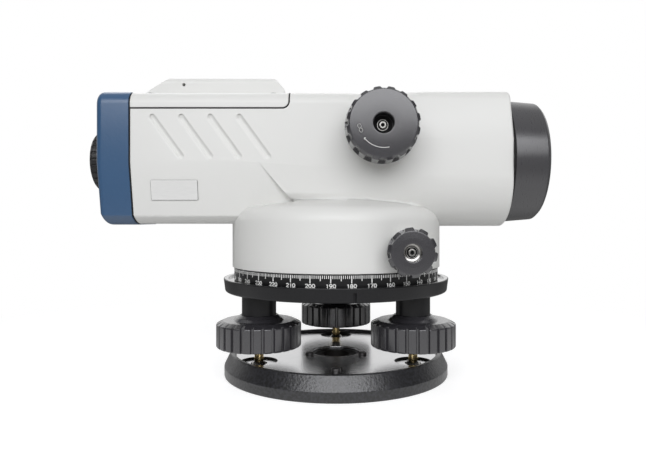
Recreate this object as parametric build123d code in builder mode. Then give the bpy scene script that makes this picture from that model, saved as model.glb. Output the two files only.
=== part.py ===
from build123d import *
import os
from math import atan2, cos, degrees, pi, radians, sin

# An automatic optical level: a base plate with three foot screws, an upper plate with a graduated
# circle, and a telescope with an endless fine drive, compensator, focusing and dioptre drives.
# Millimetres. The origin is on the vertical axis, on the underside of the base plate. +Z is up, the
# objective looks along +X, and the focusing knob is on the -Y side.

# Clearances
fit = 0.02
run = 0.05
gap = 0.3
air = 0.15
wall = 3.0
head_round = 0.4
least_corner = 0.5

# Base plate and its tripod bush
base_radius = 55.1
base_band = 4.6
base_height = 11.0
base_slope = 3.2
base_rim_width = 2.0
base_edge = 0.5
base_rim_depth = 2.8
base_hub_radius = 18.5
base_relief_radius = 31.0
base_relief_depth = 3.5
thread_radius = 6.8
bush_radius = 10.5

# Spring plate over the ball feet, and its screws
spring_thickness = 1.2
spring_hole = 11.75
dimple_radius = 9.1
dimple_depth = 0.6
inner_screw_ring = 15.0
outer_screw_ring = 38.5
small_head_radius = 2.1
small_head_height = 1.2
small_shank_radius = 1.2
small_shank_length = 4.0
driver_slot = 0.5

# Foot screws
foot_inset = 13.6
ball_radius = 4.2
ball_sink = 2.2
pin_radius = 1.95
pin_clearance = 0.25
neck_radius = 2.6
spindle_radius = 4.5
knob_gap = 5.7
knob_radius = 19.65
knob_height = 12.2
knob_chamfer = 1.6
knob_grooves = 26
knob_groove_width = 1.3
knob_groove_depth = 1.1
sleeve_foot_radius = 11.7
sleeve_top_radius = 8.7
sleeve_height = 2.4
sleeve_step = 0.4
screw_travel = 2.2
recess_spare = 1.5
foot_angles = {"left": 210, "right": 330, "rear": 90}

# Upper plate
boss_gap = 0.9
boss_radius = 7.95
boss_height = 11.1
foot_bush_radius = 6.5
bore_roof = 1.2
plate_radius = 55.45
plate_draft = 0.8
plate_thickness = 6.3
plate_edge = 0.7
dish_depth = 1.0
plate_rim = 1.5
seat_radius = 40.0
seat_width = 4.0
seat_height = 4.0
index_angle = -81.9
index_width = 1.4
index_depth = 0.8
index_height = 4.4

# Horizontal circle
circle_margin = 2.4
circle_height = 5.8
circle_band = 3.0
circle_web = 2.0

# Vertical axis and the friction-held worm wheel
sleeve_bore = 9.0
sleeve_radius = 13.0
sleeve_flange = 18.0
sleeve_flange_height = 3.8
axis_flange_radius = 15.0
axis_flange_height = 3.5
axis_pin_radius = 6.0
axis_pin_height = 2.4
nut_radius = 11.0
nut_height = 3.6
nut_notch_depth = 1.5
nut_notch_width = 2.5
wheel_module = 1.0
wheel_teeth = 52
wheel_face = 4.0
wheel_hub = 17.0
wheel_tooth_share = 0.36
clutch_nut_height = 2.0

# Gear teeth, in modules, and the lean of their sides
tooth_tip = 0.8
tooth_root = 1.25
tooth_sink = 1.5
tooth_lean = 0.36

# Tangent drive
worm_radius = 5.2
worm_turns = 4
tangent_rise = 9.3
tangent_shaft_radius = 3.0
tangent_boss_radius = 7.5
tangent_boss_length = 6.2
tangent_bush_radius = 5.0
tangent_knob_radius = 9.7
tangent_knob_length = 10.6
tangent_ribs = 10
tangent_flare = 0.7
tangent_recess_radius = 3.7
tangent_recess_depth = 4.5

# Telescope housing
drum_overhang = 0.85
drum_side = 28.0
drum_shoulder = 7.5
dome_radius = 24.0
dome_rise = 32.6
drum_roof = 3.5
optic_rise = 51.75
tube_half_width = 27.8
tube_up = 29.85
tube_down = 30.95
tube_front = 81.4
tube_rear = 93.8
tube_top_corner = 6.0
tube_bottom_corner = 15.0
front_edge = 1.2
nose_rise = 1.7
nose_drop = 1.1
nose_crease = 8.25
nose_draw = 7.0
nose_bottom_corner = 24.0
nose_blend_rear = 4.0
nose_blend_front = 40.0
crease_drop = 2.95
flank_draw = 5.5
flank_end = 35.0
flank_run = 15.0
flank_fall = 17.5
bulkhead = 3.0
groove_width = 2.3
groove_depth = 0.7
groove_run = 13.4
groove_fall = 18.4
groove_first = 83.7
groove_pitch = 13.2
groove_rise = 18.15
groove_count = 4

# Compensator lid and its sight
lid_front = 21.0
lid_height = 8.3
lid_corner = 3.5
seal = 0.65
lug = 7.0
lid_shank = 6.0
lid_screw_sink = 1.5
lid_screw_radius = 2.5
lid_screw_front = 29.0
lid_screw_rear = 86.0
sight_half_width = 11.0
sight_height = 10.05
sight_edge = 3.0
sight_crest_rear = 80.8
sight_crest_front = 30.0
sight_toe = 25.2
sight_heel_height = 1.4
sight_toe_height = 4.5
sight_groove_width = 4.0
sight_groove_depth = 1.4
sight_hole_radius = 0.8
sight_hole_x = -73.6
sight_hole_drop = 3.55

# Rear cover
rear_cover_length = 16.0
rear_cover_wall = 2.4
rear_cover_proud = 0.4
rear_edge = 3.2

# Objective
hood_radius = 30.1
hood_length = 17.0
hood_front_radius = 28.8
hood_edge = 1.6
hood_bore = 20.6
hood_lip = 1.8
cell_radius = 22.0
cell_bore = 18.4
cell_flange_radius = 25.5
cell_flange = 2.4
cell_reach = 21.0
cell_nose = 6.4
lens_radius = 20.0
lens_thickness = 8.0
lens_bulge = 1.8

# Focusing
rack_room = 4.8
guide_wall = 3.0
guide_start = -16.0
guide_end = 50.0
focus_cell_length = 34.0
focus_cell_wall = 3.0
focus_lens_thickness = 4.0
focus_travel = 9.0
focus_x = 20.2
focus_rise = 12.0
pinion_module = 0.5
pinion_teeth = 10
pinion_tooth_share = 0.3
rack_width = 2.8
rack_depth = 3.6
arm_half = 5.0
arm_height = 2.5
focus_shaft_radius = 2.0
focus_bush_radius = 5.0
focus_boss_radius = 11.0
focus_boss_height = 6.6
focus_knob_back = 16.4
focus_knob_face = 15.85
focus_knob_length = 13.0
focus_ribs = 16
focus_recess_radius = 4.4
focus_recess_depth = 7.6
knob_edge = 1.0
knob_face_edge = 1.6
rib_depth = 1.2
rib_gap = 1.8
rib_stop = 2.0
washer_thickness = 0.5
knob_screw_radius = 2.5
knob_screw_reach = 3.6
knob_socket_radius = 1.3

# Eyepiece and reticle
holder_radius = 12.0
holder_bore = 9.0
holder_flange = 15.5
holder_length = 17.0
reticle_radius = 7.0
reticle_thickness = 2.0
ring_radius = 15.2
ring_length = 8.1
ring_bore = 8.2
ring_lip = 4.4
ring_edge = 1.8
ring_heel = 0.6
ring_rib_depth = 0.6
ring_rib_gap = 0.9
ring_ribs = 30
eyepiece_wall = 1.5
eyepiece_length = 16.0
eyepiece_travel = 2.0
eye_lens_thickness = 3.5
eye_lens_inset = 1.0

# Compensator
frame_rear = 70.0
frame_front = 30.0
frame_half_width = 12.5
frame_plate = 3.0
cheek = 2.0
cheek_height = 42.0
bridge = 4.0
prism_side = 13.0
prism_half_width = 7.0
pendulum_length = 12.0
pendulum_height = 11.0
pendulum_half_width = 8.0
pendulum_x = -50.0
wire_radius = 0.25
wire_spread = 4.0
damper_radius = 7.0
damper_height = 5.5
damper_wall = 1.3
damper_floor = 1.0
piston_radius = 5.0
piston_height = 3.0
piston_stem = 1.6
pendulum_flange = 2.0
swing_gap = 0.5
post_half = 4.3

# Circular level and its mirror
level_x = -22.0
level_boss_radius = 13.5
level_rise = 12.4
cup_flange_height = 2.0
cup_radius = 9.6
cup_height = 8.5
cup_wall = 1.3
cup_floor = 2.0
level_screw_ring = 11.4
level_head_radius = 1.6
level_shank = 6.0
level_screw_angles = (90, 210, 330)
vial_edge = 1.0
vial_sink = 0.4
mirror_x = -5.0
mirror_rise = 14.0
mirror_pin_radius = 1.5
mirror_ear = 2.5
ear_half = 4.0
mirror_hub_radius = 3.0
mirror_border = 1.5
mirror_half_width = 8.0
mirror_length = 24.0
mirror_arm_thickness = 2.0
mirror_glass_thickness = 1.2
mirror_tilt = 45.0

# Label plate
label_width = 21.6
label_height = 9.4
label_thickness = 0.5
label_rear = 85.0
label_drop = 12.6

# Heights that follow from the sizes above
base_floor = base_height - base_rim_depth
spring_top = base_floor + spring_thickness
ball_z = base_floor - ball_sink
knob_z = base_height + knob_gap
knob_top = knob_z + knob_height
boss_z = knob_top + boss_gap
plate_z = boss_z + boss_height
plate_top = plate_z + plate_thickness
dish_z = plate_top - dish_depth
bore_top = dish_z - bore_roof
circle_z = dish_z + gap
circle_top = circle_z + circle_height
drum_z = circle_top + gap
tangent_z = drum_z + tangent_rise
optic_z = drum_z + optic_rise
tube_top = optic_z + tube_up
tube_bottom = optic_z - tube_down
floor_z = tube_bottom + wall
roof_z = floor_z - drum_roof
crease_z = optic_z - crease_drop
lid_z = tube_top - lid_height
focus_z = optic_z + focus_rise
level_z = roof_z + level_rise
mirror_z = level_z + mirror_rise
wheel_pitch = wheel_module * wheel_teeth / 2
tangent_x = wheel_pitch + worm_radius
rear_x = -tube_rear
nose_crease_z = optic_z + nose_crease

# Radii and reaches that follow from the sizes above
base_rim_radius = base_radius - base_slope
foot_ring = base_radius - foot_inset
plate_foot_radius = plate_radius - plate_draft
dish_radius = plate_radius - plate_edge - plate_rim - dish_depth / 2
circle_radius = dish_radius - circle_margin
drum_radius = circle_radius + drum_overhang
guide_radius = tube_half_width - wall - rack_room
guide_bore = guide_radius - guide_wall
focus_cell_bore = guide_bore - focus_cell_wall
level_y = tube_half_width + level_boss_radius - gap
tangent_boss_reach = (drum_radius ** 2 - tangent_x ** 2) ** 0.5 + tangent_boss_length

UP = (0, 0, 1)
FORWARD = (1, 0, 0)
ACROSS = (0, 1, 0)
SIDE = {UP: (0, 1, 0), FORWARD: (0, -1, 0), ACROSS: (1, 0, 0)}
optic = (0, 0, optic_z)
os.makedirs("parts", exist_ok=True)


def turned(outline, axis, origin=(0, 0, 0)):
    """A solid turned about an axis, from points (distance along the axis, radius)."""
    with BuildPart() as solid:
        with BuildSketch(Plane(origin, x_dir=axis, z_dir=SIDE[axis])):
            with BuildLine():
                Polyline(*outline, close=True)
            make_face()
        revolve(axis=Axis(origin, axis))
    return solid.part


def tube(start, end, outer, inner, axis, origin=(0, 0, 0)):
    """A plain tube, or a plain rod where the inner radius is nought."""
    return turned([(start, inner), (end, inner), (end, outer), (start, outer)], axis, origin)


def block(x_ends, y_ends, z_ends):
    """A box between two places on each axis."""
    ends = [sorted(x_ends), sorted(y_ends), sorted(z_ends)]
    with BuildPart() as solid:
        with Locations(tuple(sum(pair) / 2 for pair in ends)):
            Box(*[pair[1] - pair[0] for pair in ends])
    return solid.part


def grooved(body, axis, origin, ends, radius, depth, width, count):
    """A turned body with straight grooves cut along its rim."""
    with BuildPart() as solid:
        add(body)
        with BuildSketch(Plane(origin, x_dir=SIDE[axis], z_dir=axis).offset(ends[0])):
            with PolarLocations(radius, count):
                Rectangle(2 * depth, width)
        extrude(amount=ends[1] - ends[0], mode=Mode.SUBTRACT)
    return solid.part


def slotted_screw(top, head_radius, head_height, shank_radius, length, origin):
    """An upright pan-head screw whose head stands on the height called top."""
    head_top = top + head_height
    outline = [
        (top - length, 0), (head_top, 0), (head_top, head_radius - head_round * head_height),
        (head_top - head_round * head_height, head_radius), (top, head_radius), (top, shank_radius),
        (top - length, shank_radius),
    ]
    with BuildPart() as screw:
        add(turned(outline, UP, origin))
        with Locations((origin[0], origin[1], head_top)):
            Box(2 * head_radius, driver_slot, head_height, mode=Mode.SUBTRACT)
    return screw.part


def on_ring(radius, angle, height=0):
    """A point on a level ring about the vertical axis."""
    return (radius * cos(radians(angle)), radius * sin(radians(angle)), height)


def tooth(module, half_width):
    """A straight-sided gear tooth, from its pitch point, pointing along its own X."""
    tip = tooth_tip * module
    foot = tooth_sink * module
    tip_half = half_width - tip * tooth_lean
    foot_half = half_width + foot * tooth_lean
    return [(-foot, -foot_half), (tip, -tip_half), (tip, tip_half), (-foot, foot_half)]


def save(piece, name):
    """Name a finished piece and write it."""
    piece.part.label = name
    export_step(piece.part, f"parts/{name}.step")


# Base plate: a turned casting with a rim, three ball sockets and a hub for the tripod thread
inner_screws = [on_ring(inner_screw_ring, angle) for angle in foot_angles.values()]
outer_screws = [on_ring(outer_screw_ring, angle + 180) for angle in foot_angles.values()]
spring_screws = inner_screws + outer_screws
socket_radius = ball_radius + air
screw_end = spring_top - small_shank_length
feet = {name: on_ring(foot_ring, angle) for name, angle in foot_angles.items()}
rim_inner = base_rim_radius - base_rim_width
with BuildPart() as base_plate:
    add(turned([
        (0, bush_radius + fit), (0, base_hub_radius),
        (base_relief_depth, base_hub_radius), (base_relief_depth, base_relief_radius),
        (0, base_relief_radius), (0, base_radius - base_edge), (base_edge, base_radius),
        (base_band, base_radius), (base_height, base_rim_radius), (base_height, rim_inner),
        (base_floor, rim_inner), (base_floor, bush_radius + fit),
    ], UP))
    with Locations(*[(x, y, ball_z - socket_radius) for x, y, z in feet.values()]):
        Cylinder(socket_radius, base_height, align=(Align.CENTER, Align.CENTER, Align.MIN),
                 mode=Mode.SUBTRACT)
    with Locations(*[(x, y, screw_end - gap) for x, y, z in spring_screws]):
        Cylinder(small_shank_radius + fit, base_height, mode=Mode.SUBTRACT,
                 align=(Align.CENTER, Align.CENTER, Align.MIN))
save(base_plate, "base_plate")

# Tripod bush: the threaded brass insert that the tripod's clamp screw enters
with BuildPart() as tripod_bush:
    add(tube(0, base_floor, bush_radius, thread_radius, UP))
save(tripod_bush, "tripod_bush")

# Spring plate: a bright sprung steel plate that keeps the ball feet in their sockets
with BuildPart() as spring_plate:
    add(tube(base_floor, spring_top, rim_inner - gap, spring_hole, UP))
    keep_radius = ball_radius - gap - run
    with Locations(*[(x, y, spring_top) for x, y, z in feet.values()]):
        Cylinder(dimple_radius, 2 * dimple_depth, mode=Mode.SUBTRACT)
        Cylinder(keep_radius, 4 * spring_thickness, mode=Mode.SUBTRACT)
    with Locations(*[(x, y, spring_top) for x, y, z in spring_screws]):
        Cylinder(small_shank_radius + fit, 4 * spring_thickness, mode=Mode.SUBTRACT)
save(spring_plate, "spring_plate")

# Spring plate screws: three by the hub and three by the rim
with BuildPart() as spring_plate_screws:
    for place in spring_screws:
        add(slotted_screw(spring_top, small_head_radius, small_head_height, small_shank_radius,
                          small_shank_length, place))
save(spring_plate_screws, "spring_plate_screws")

# Foot screws: each is a ball that sits in the base, a brass spindle, and a ribbed knob with a
# telescoping dust sleeve
spindle_tip = ball_z + gap
ball_top = ball_z + ball_radius
neck_z = ball_top + air
spindle_top = bore_top - screw_travel - gap
recess_z = boss_z - screw_travel - recess_spare
sleeve_bore_radius = boss_radius + air
sleeve_middle_radius = (sleeve_foot_radius + sleeve_top_radius) / 2
for name, place in feet.items():
    with BuildPart() as foot_ball:
        with Locations((place[0], place[1], ball_z)):
            Sphere(ball_radius)
            Cylinder(pin_radius + pin_clearance, 2 * ball_radius, mode=Mode.SUBTRACT,
                     align=(Align.CENTER, Align.CENTER, Align.MIN))
    save(foot_ball, f"foot_ball_{name}")

    with BuildPart() as foot_spindle:
        add(turned([
            (spindle_tip, 0), (spindle_top, 0), (spindle_top, spindle_radius),
            (knob_z, spindle_radius), (knob_z, neck_radius), (neck_z, neck_radius),
            (neck_z, pin_radius), (spindle_tip, pin_radius),
        ], UP, place))
    save(foot_spindle, f"foot_spindle_{name}")

    knob_outline = [
        (knob_z, spindle_radius + fit), (knob_z, knob_radius - knob_chamfer / 2),
        (knob_z + knob_chamfer / 2, knob_radius), (knob_top - knob_chamfer, knob_radius),
        (knob_top, knob_radius - 2 * knob_chamfer), (knob_top, sleeve_foot_radius),
        (knob_top + sleeve_height / 2, sleeve_middle_radius + sleeve_step),
        (knob_top + sleeve_height / 2, sleeve_middle_radius),
        (knob_top + sleeve_height, sleeve_top_radius),
        (knob_top + sleeve_height, sleeve_bore_radius), (recess_z, sleeve_bore_radius),
        (recess_z, spindle_radius + fit),
    ]
    with BuildPart() as foot_knob:
        add(grooved(turned(knob_outline, UP, place), UP, place, (knob_z, knob_top), knob_radius,
                    knob_groove_depth, knob_groove_width, knob_grooves))
    save(foot_knob, f"foot_knob_{name}")

# Upper plate: a dished casting with three bosses for the foot screws, a seat for the circle, and an
# index groove on its rim
with BuildPart() as upper_plate:
    add(turned([
        (plate_z, sleeve_radius + fit), (plate_z, plate_foot_radius - plate_edge),
        (plate_z + plate_edge, plate_foot_radius), (plate_top - plate_edge, plate_radius),
        (plate_top, plate_radius - plate_edge), (plate_top, dish_radius + dish_depth / 2),
        (dish_z, dish_radius), (dish_z, seat_radius), (dish_z + seat_height, seat_radius),
        (dish_z + seat_height, seat_radius - seat_width), (dish_z, seat_radius - seat_width),
        (dish_z, sleeve_radius + fit),
    ], UP))
    for place in feet.values():
        add(tube(boss_z, plate_z + plate_edge, boss_radius, 0, UP, place))
    for place in feet.values():
        add(tube(boss_z, bore_top, foot_bush_radius + fit, 0, UP, place), mode=Mode.SUBTRACT)
    with Locations(Location(on_ring(plate_foot_radius, index_angle, plate_z), (0, 0, index_angle))):
        Box(2 * index_depth, index_width, index_height, mode=Mode.SUBTRACT,
            align=(Align.CENTER, Align.CENTER, Align.MIN))
save(upper_plate, "upper_plate")

# Foot bushes: the threaded brass bushes in the bosses
with BuildPart() as foot_bushes:
    for place in feet.values():
        add(tube(boss_z, bore_top, foot_bush_radius, spindle_radius + run, UP, place))
save(foot_bushes, "foot_bushes")

# Horizontal circle: the graduated ring that turns by hand on the upper plate's seat
with BuildPart() as horizontal_circle:
    add(turned([
        (circle_z, seat_radius + run), (circle_z, circle_radius), (circle_top, circle_radius),
        (circle_top, circle_radius - circle_band), (circle_z + circle_web, circle_radius - circle_band),
        (circle_z + circle_web, seat_radius + run),
    ], UP))
save(horizontal_circle, "horizontal_circle")

# Axis sleeve: the fixed brass bearing of the vertical axis, flanged onto the upper plate
wheel_z = tangent_z - wheel_face / 2
wheel_top = tangent_z + wheel_face / 2
clutch_z = wheel_top + gap
sleeve_end = clutch_z + clutch_nut_height
flange_top = dish_z + sleeve_flange_height
with BuildPart() as axis_sleeve:
    add(turned([
        (plate_z, sleeve_bore), (sleeve_end, sleeve_bore), (sleeve_end, sleeve_radius),
        (flange_top, sleeve_radius), (flange_top, sleeve_flange), (dish_z, sleeve_flange),
        (dish_z, sleeve_radius), (plate_z, sleeve_radius),
    ], UP))
save(axis_sleeve, "axis_sleeve")

# Axis spindle: the steel spindle under the housing, which turns in the sleeve
nut_z = plate_z - gap - nut_height
nut_bore = axis_pin_radius
with BuildPart() as axis_spindle:
    add(turned([
        (nut_z, 0), (roof_z + axis_pin_height, 0), (roof_z + axis_pin_height, axis_pin_radius),
        (roof_z, axis_pin_radius), (roof_z, axis_flange_radius),
        (roof_z - axis_flange_height, axis_flange_radius),
        (roof_z - axis_flange_height, sleeve_bore - run), (plate_z - gap, sleeve_bore - run),
        (plate_z - gap, nut_bore), (nut_z, nut_bore),
    ], UP))
save(axis_spindle, "axis_spindle")

# Axis nut: holds the spindle in the sleeve from below
with BuildPart() as axis_nut:
    add(tube(nut_z, nut_z + nut_height, nut_radius, nut_bore + fit, UP))
    with BuildSketch(Plane.XY.offset(nut_z)):
        with PolarLocations(nut_radius, 4):
            Rectangle(2 * nut_notch_depth, nut_notch_width)
    extrude(amount=nut_height, mode=Mode.SUBTRACT)
save(axis_nut, "axis_nut")

# Worm wheel: held by friction on the sleeve, so that the telescope can also be swung by hand
tooth_pitch = pi * wheel_module
wheel_root = wheel_pitch - tooth_root * wheel_module
tooth_half = wheel_tooth_share * tooth_pitch / 2
with BuildPart() as worm_wheel:
    add(turned([
        (flange_top + air, sleeve_radius + run), (wheel_top, sleeve_radius + run),
        (wheel_top, wheel_root), (wheel_z, wheel_root), (wheel_z, wheel_hub),
        (flange_top + air, wheel_hub),
    ], UP))
    with BuildSketch(Plane.XY.offset(wheel_z)):
        with PolarLocations(wheel_pitch, wheel_teeth):
            Polygon(*tooth(wheel_module, tooth_half), align=None)
    extrude(amount=wheel_face)
save(worm_wheel, "worm_wheel")

# Clutch nut: the ring that keeps the worm wheel on the sleeve
with BuildPart() as clutch_nut:
    add(tube(clutch_z, sleeve_end, sleeve_flange, sleeve_radius + fit, UP))
save(clutch_nut, "clutch_nut")


def section(x, inset, draw, bottom_corner, rise=0, drop=0):
    """The telescope's outline at a place on X, with its upper sides drawn in, or that of its hollow."""
    half = tube_half_width - inset
    high = tube_top + rise - inset
    low = tube_bottom - drop + inset
    low_corner = min(bottom_corner, tube_half_width - least_corner) - inset
    with BuildSketch(Plane.YZ.offset(x)) as outline:
        with BuildLine():
            Polyline(
                (-half, low), (half, low), (half, nose_crease_z), (half - draw, high), (draw - half, high),
                (-half, nose_crease_z), close=True,
            )
        make_face()
        fillet(outline.vertices().group_by(Axis.Y)[-1], max(tube_top_corner - inset, least_corner))
        fillet(outline.vertices().group_by(Axis.Y)[0], max(low_corner, least_corner))
    return outline.sketch


def section_bar(start, end, inset):
    """A length of the telescope's rear outline, or of its hollow where the outline is drawn in."""
    with BuildPart() as solid:
        extrude(section(start, inset, 0, tube_bottom_corner), amount=end - start, dir=FORWARD)
    return solid.part


def telescope_bar(start, end, inset):
    """A length of the whole telescope, whose square rear blends into a rounder nose with a crease."""
    rear = [section(x, inset, 0, tube_bottom_corner) for x in (rear_x, nose_blend_rear)]
    nose = [section(x, inset, nose_draw, nose_bottom_corner, nose_rise, nose_drop)
            for x in (nose_blend_front, tube_front)]
    with BuildPart() as solid:
        loft(rear + nose, ruled=True)
        add(block((start, end), (-2 * tube_half_width, 2 * tube_half_width),
                  (tube_bottom - wall, tube_top + wall)), mode=Mode.INTERSECT)
    return solid.part


def flank_cut(side, inset):
    """The wedge that draws in the lower side of the rear half, on one side of the telescope."""
    reach = tube_half_width + flank_draw
    low = tube_bottom - wall
    run_down = flank_run / flank_fall * (crease_z - low)
    slope = Plane((0, side * tube_half_width, crease_z),
                  z_dir=(0, side * (crease_z - tube_bottom), -flank_draw)).offset(-inset)
    with BuildPart() as wedge:
        with BuildSketch(Plane.XZ):
            with BuildLine():
                Polyline(
                    (rear_x - rear_cover_length - wall, crease_z),
                    (-flank_end + inset, crease_z), (-flank_end + run_down + inset, low),
                    (rear_x - rear_cover_length - wall, low), close=True,
                )
            make_face()
        extrude(amount=-side * reach)
        split(bisect_by=slope, keep=Keep.TOP)
    return wedge.part


def rear_bar(start, end, inset):
    """A length of the telescope's rear section, with its lower sides drawn in."""
    with BuildPart() as solid:
        add(section_bar(start, end, inset))
        for side in (-1, 1):
            add(flank_cut(side, inset), mode=Mode.SUBTRACT)
    return solid.part


def lid_space(inset):
    """The room on top of the rear half that the lid fills, with its rounded front corner."""
    low = lid_z + inset
    high = tube_top + wall
    back = rear_x - wall
    front = -lid_front - inset
    with BuildPart() as solid:
        with BuildSketch(Plane.XZ.offset(-2 * tube_half_width)) as side_view:
            with Locations(((back + front) / 2, (low + high) / 2)):
                Rectangle(front - back, high - low)
            corner = side_view.vertices().group_by(Axis.Y)[0].sort_by(Axis.X)[-1]
            fillet(corner, lid_corner - inset)
        extrude(amount=4 * tube_half_width)
    return solid.part


def rear_hollow(end):
    """The room behind the rear bulkhead, up to a place on X, less the lid's four screw lugs."""
    with BuildPart() as solid:
        add(rear_bar(hollow_rear, end, wall))
        for x, side in lid_screw_sides:
            lug_sides = (side * (tube_half_width - wall - lug), side * tube_half_width)
            add(block((x - lug / 2, x + lug / 2), lug_sides, (lid_z - 2 * lug, tube_top)), mode=Mode.SUBTRACT)
    return solid.part


def middle_hollow():
    """The room between the two bulkheads."""
    with BuildPart() as solid:
        add(telescope_bar(rear_bulkhead + bulkhead, front_bulkhead, wall))
        for side in (-1, 1):
            add(flank_cut(side, wall), mode=Mode.SUBTRACT)
    return solid.part


def drum_body():
    """The turned foot of the housing: a drum with a rounded shoulder under a shallow dome."""
    with BuildPart() as solid:
        add(turned([
            (drum_z, 0), (drum_z, drum_radius), (drum_z + drum_side, drum_radius),
            (drum_z + dome_rise, dome_radius), (drum_z + dome_rise, 0),
        ], UP))
        fillet(solid.edges().filter_by(GeomType.CIRCLE).group_by(Axis.Z)[1], drum_shoulder)
    return solid.part


# Main housing: the grey casting of drum and telescope, hollow, with bulkheads for the focusing guide
focus_line = (focus_x, 0, focus_z)
tangent_line = (tangent_x, 0, tangent_z)
level_spot = (level_x, level_y, 0)
rear_bulkhead = guide_start + bulkhead
front_bulkhead = guide_end - 2 * bulkhead
hollow_rear = rear_x + wall
hollow_front = tube_front - wall
focus_boss_face = tube_half_width + focus_boss_height
drum_hollow = drum_radius - wall
ear_inner = mirror_half_width + gap
ear_outer = ear_inner + mirror_ear
lid_screw_y = tube_half_width - wall - lug / 2
lid_screw_sides = [(x, side) for x in (-lid_screw_rear, -lid_screw_front) for side in (-1, 1)]
lid_screws = [(x, side * lid_screw_y, 0) for x, side in lid_screw_sides]
cup_flange_radius = level_boss_radius - gap
level_screws_at = [(level_x + x, level_y + y, 0) for x, y, z in
                   [on_ring(level_screw_ring, angle) for angle in level_screw_angles]]
mirror_line = (mirror_x, level_y, mirror_z)
with BuildPart() as main_housing:
    add(telescope_bar(rear_x, tube_front, 0))
    fillet(main_housing.faces().sort_by(Axis.X)[-1].edges(), front_edge)
    for side in (-1, 1):
        add(flank_cut(side, 0), mode=Mode.SUBTRACT)
    add(drum_body())
    add(tube(-focus_boss_face, -guide_radius, focus_boss_radius, 0, ACROSS, focus_line))
    add(tube(-tangent_boss_reach, tangent_boss_reach, tangent_boss_radius, 0, ACROSS, tangent_line))
    add(turned([
        (drum_z + 2 * wall, 0), (roof_z, level_boss_radius), (level_z, level_boss_radius), (level_z, 0),
    ], UP, level_spot))
    add(block((level_x, mirror_x + ear_half), (level_y - ear_outer, level_y + ear_outer), (roof_z, level_z)))
    for side in (-1, 1):
        ear_ends = (level_y + side * ear_inner, level_y + side * ear_outer)
        add(block((mirror_x - ear_half, mirror_x + ear_half), ear_ends, (roof_z, mirror_z)))
        add(tube(side * ear_inner, side * ear_outer, ear_half, 0, ACROSS, mirror_line))
    add(turned([
        (drum_z, 0), (drum_z, drum_hollow), (roof_z - 2 * wall, drum_hollow),
        (roof_z, drum_hollow - 2 * wall), (roof_z, 0),
    ], UP), mode=Mode.SUBTRACT)
    add(rear_hollow(rear_bulkhead), mode=Mode.SUBTRACT)
    add(middle_hollow(), mode=Mode.SUBTRACT)
    add(telescope_bar(front_bulkhead + bulkhead, hollow_front, wall), mode=Mode.SUBTRACT)
    add(lid_space(0), mode=Mode.SUBTRACT)
    for x, y, z in lid_screws:
        add(tube(lid_z - lid_shank, lid_z, small_shank_radius + fit, 0, UP, (x, y, 0)), mode=Mode.SUBTRACT)
    add(tube(rear_bulkhead, front_bulkhead + bulkhead, guide_radius + fit, 0, FORWARD, optic),
        mode=Mode.SUBTRACT)
    add(tube(hollow_front, tube_front, cell_radius + fit, 0, FORWARD, optic), mode=Mode.SUBTRACT)
    add(tube(rear_x, hollow_rear, holder_radius + fit, 0, FORWARD, optic), mode=Mode.SUBTRACT)
    add(tube(-focus_boss_face, -guide_radius, focus_bush_radius + fit, 0, ACROSS, focus_line),
        mode=Mode.SUBTRACT)
    add(tube(-tangent_boss_reach, tangent_boss_reach, tangent_bush_radius + fit, 0, ACROSS, tangent_line),
        mode=Mode.SUBTRACT)
    add(tube(roof_z, roof_z + axis_pin_height, axis_pin_radius + fit, 0, UP), mode=Mode.SUBTRACT)
    for place in level_screws_at:
        add(tube(level_z - level_shank, level_z, small_shank_radius + fit, 0, UP, place), mode=Mode.SUBTRACT)
    add(tube(-ear_outer, ear_outer, mirror_pin_radius + run, 0, ACROSS, mirror_line), mode=Mode.SUBTRACT)
    groove_length = (groove_run ** 2 + groove_fall ** 2) ** 0.5
    groove_angle = -degrees(atan2(groove_fall, groove_run))
    groove_spots = [(-groove_first + index * groove_pitch + groove_run / 2,
                     optic_z + groove_rise - groove_fall / 2) for index in range(groove_count)]
    for side in (-1, 1):
        with BuildSketch(Plane.XZ.offset(-side * (tube_half_width - groove_depth))):
            with Locations(*groove_spots):
                SlotCenterToCenter(groove_length, groove_width, rotation=groove_angle)
        extrude(amount=-side * 2 * groove_depth, mode=Mode.SUBTRACT)
save(main_housing, "main_housing")

# Top cover: the lid over the compensator, with the rifle-style sight along its top
sight_z = tube_top + sight_height
with BuildPart() as sight:
    with BuildSketch(Plane.XZ):
        with BuildLine():
            Polyline(
                (rear_x + fit, tube_top - wall / 2), (rear_x + fit, tube_top + sight_heel_height),
                (-sight_crest_rear, sight_z),
                (-sight_crest_front, sight_z), (-sight_toe, tube_top + sight_toe_height),
                (-lid_front - wall / 2, tube_top - wall / 2), close=True,
            )
        make_face()
    extrude(amount=sight_half_width, both=True)
    fillet(sight.edges().filter_by(Axis.X).group_by(Axis.Z)[-1], sight_edge)
    with Locations((-(sight_crest_rear + sight_crest_front) / 2, 0, sight_z)):
        Box(2 * tube_rear, sight_groove_width, 2 * sight_groove_depth, mode=Mode.SUBTRACT)
    with Locations(Location((sight_hole_x, 0, sight_z - sight_hole_drop), (90, 0, 0))):
        Cylinder(sight_hole_radius, 4 * sight_half_width, mode=Mode.SUBTRACT)
with BuildPart() as top_cover:
    add(section_bar(rear_x, -lid_front, 0))
    add(lid_space(seal), mode=Mode.INTERSECT)
    add(rear_hollow(-lid_front - seal - wall), mode=Mode.SUBTRACT)
    add(sight.part)
    for x, y, z in lid_screws:
        add(tube(lid_z, tube_top + wall, small_shank_radius + fit, 0, UP, (x, y, 0)), mode=Mode.SUBTRACT)
        add(tube(tube_top - lid_screw_sink, tube_top + wall, lid_screw_radius + run, 0, UP, (x, y, 0)),
            mode=Mode.SUBTRACT)
save(top_cover, "top_cover")

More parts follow.
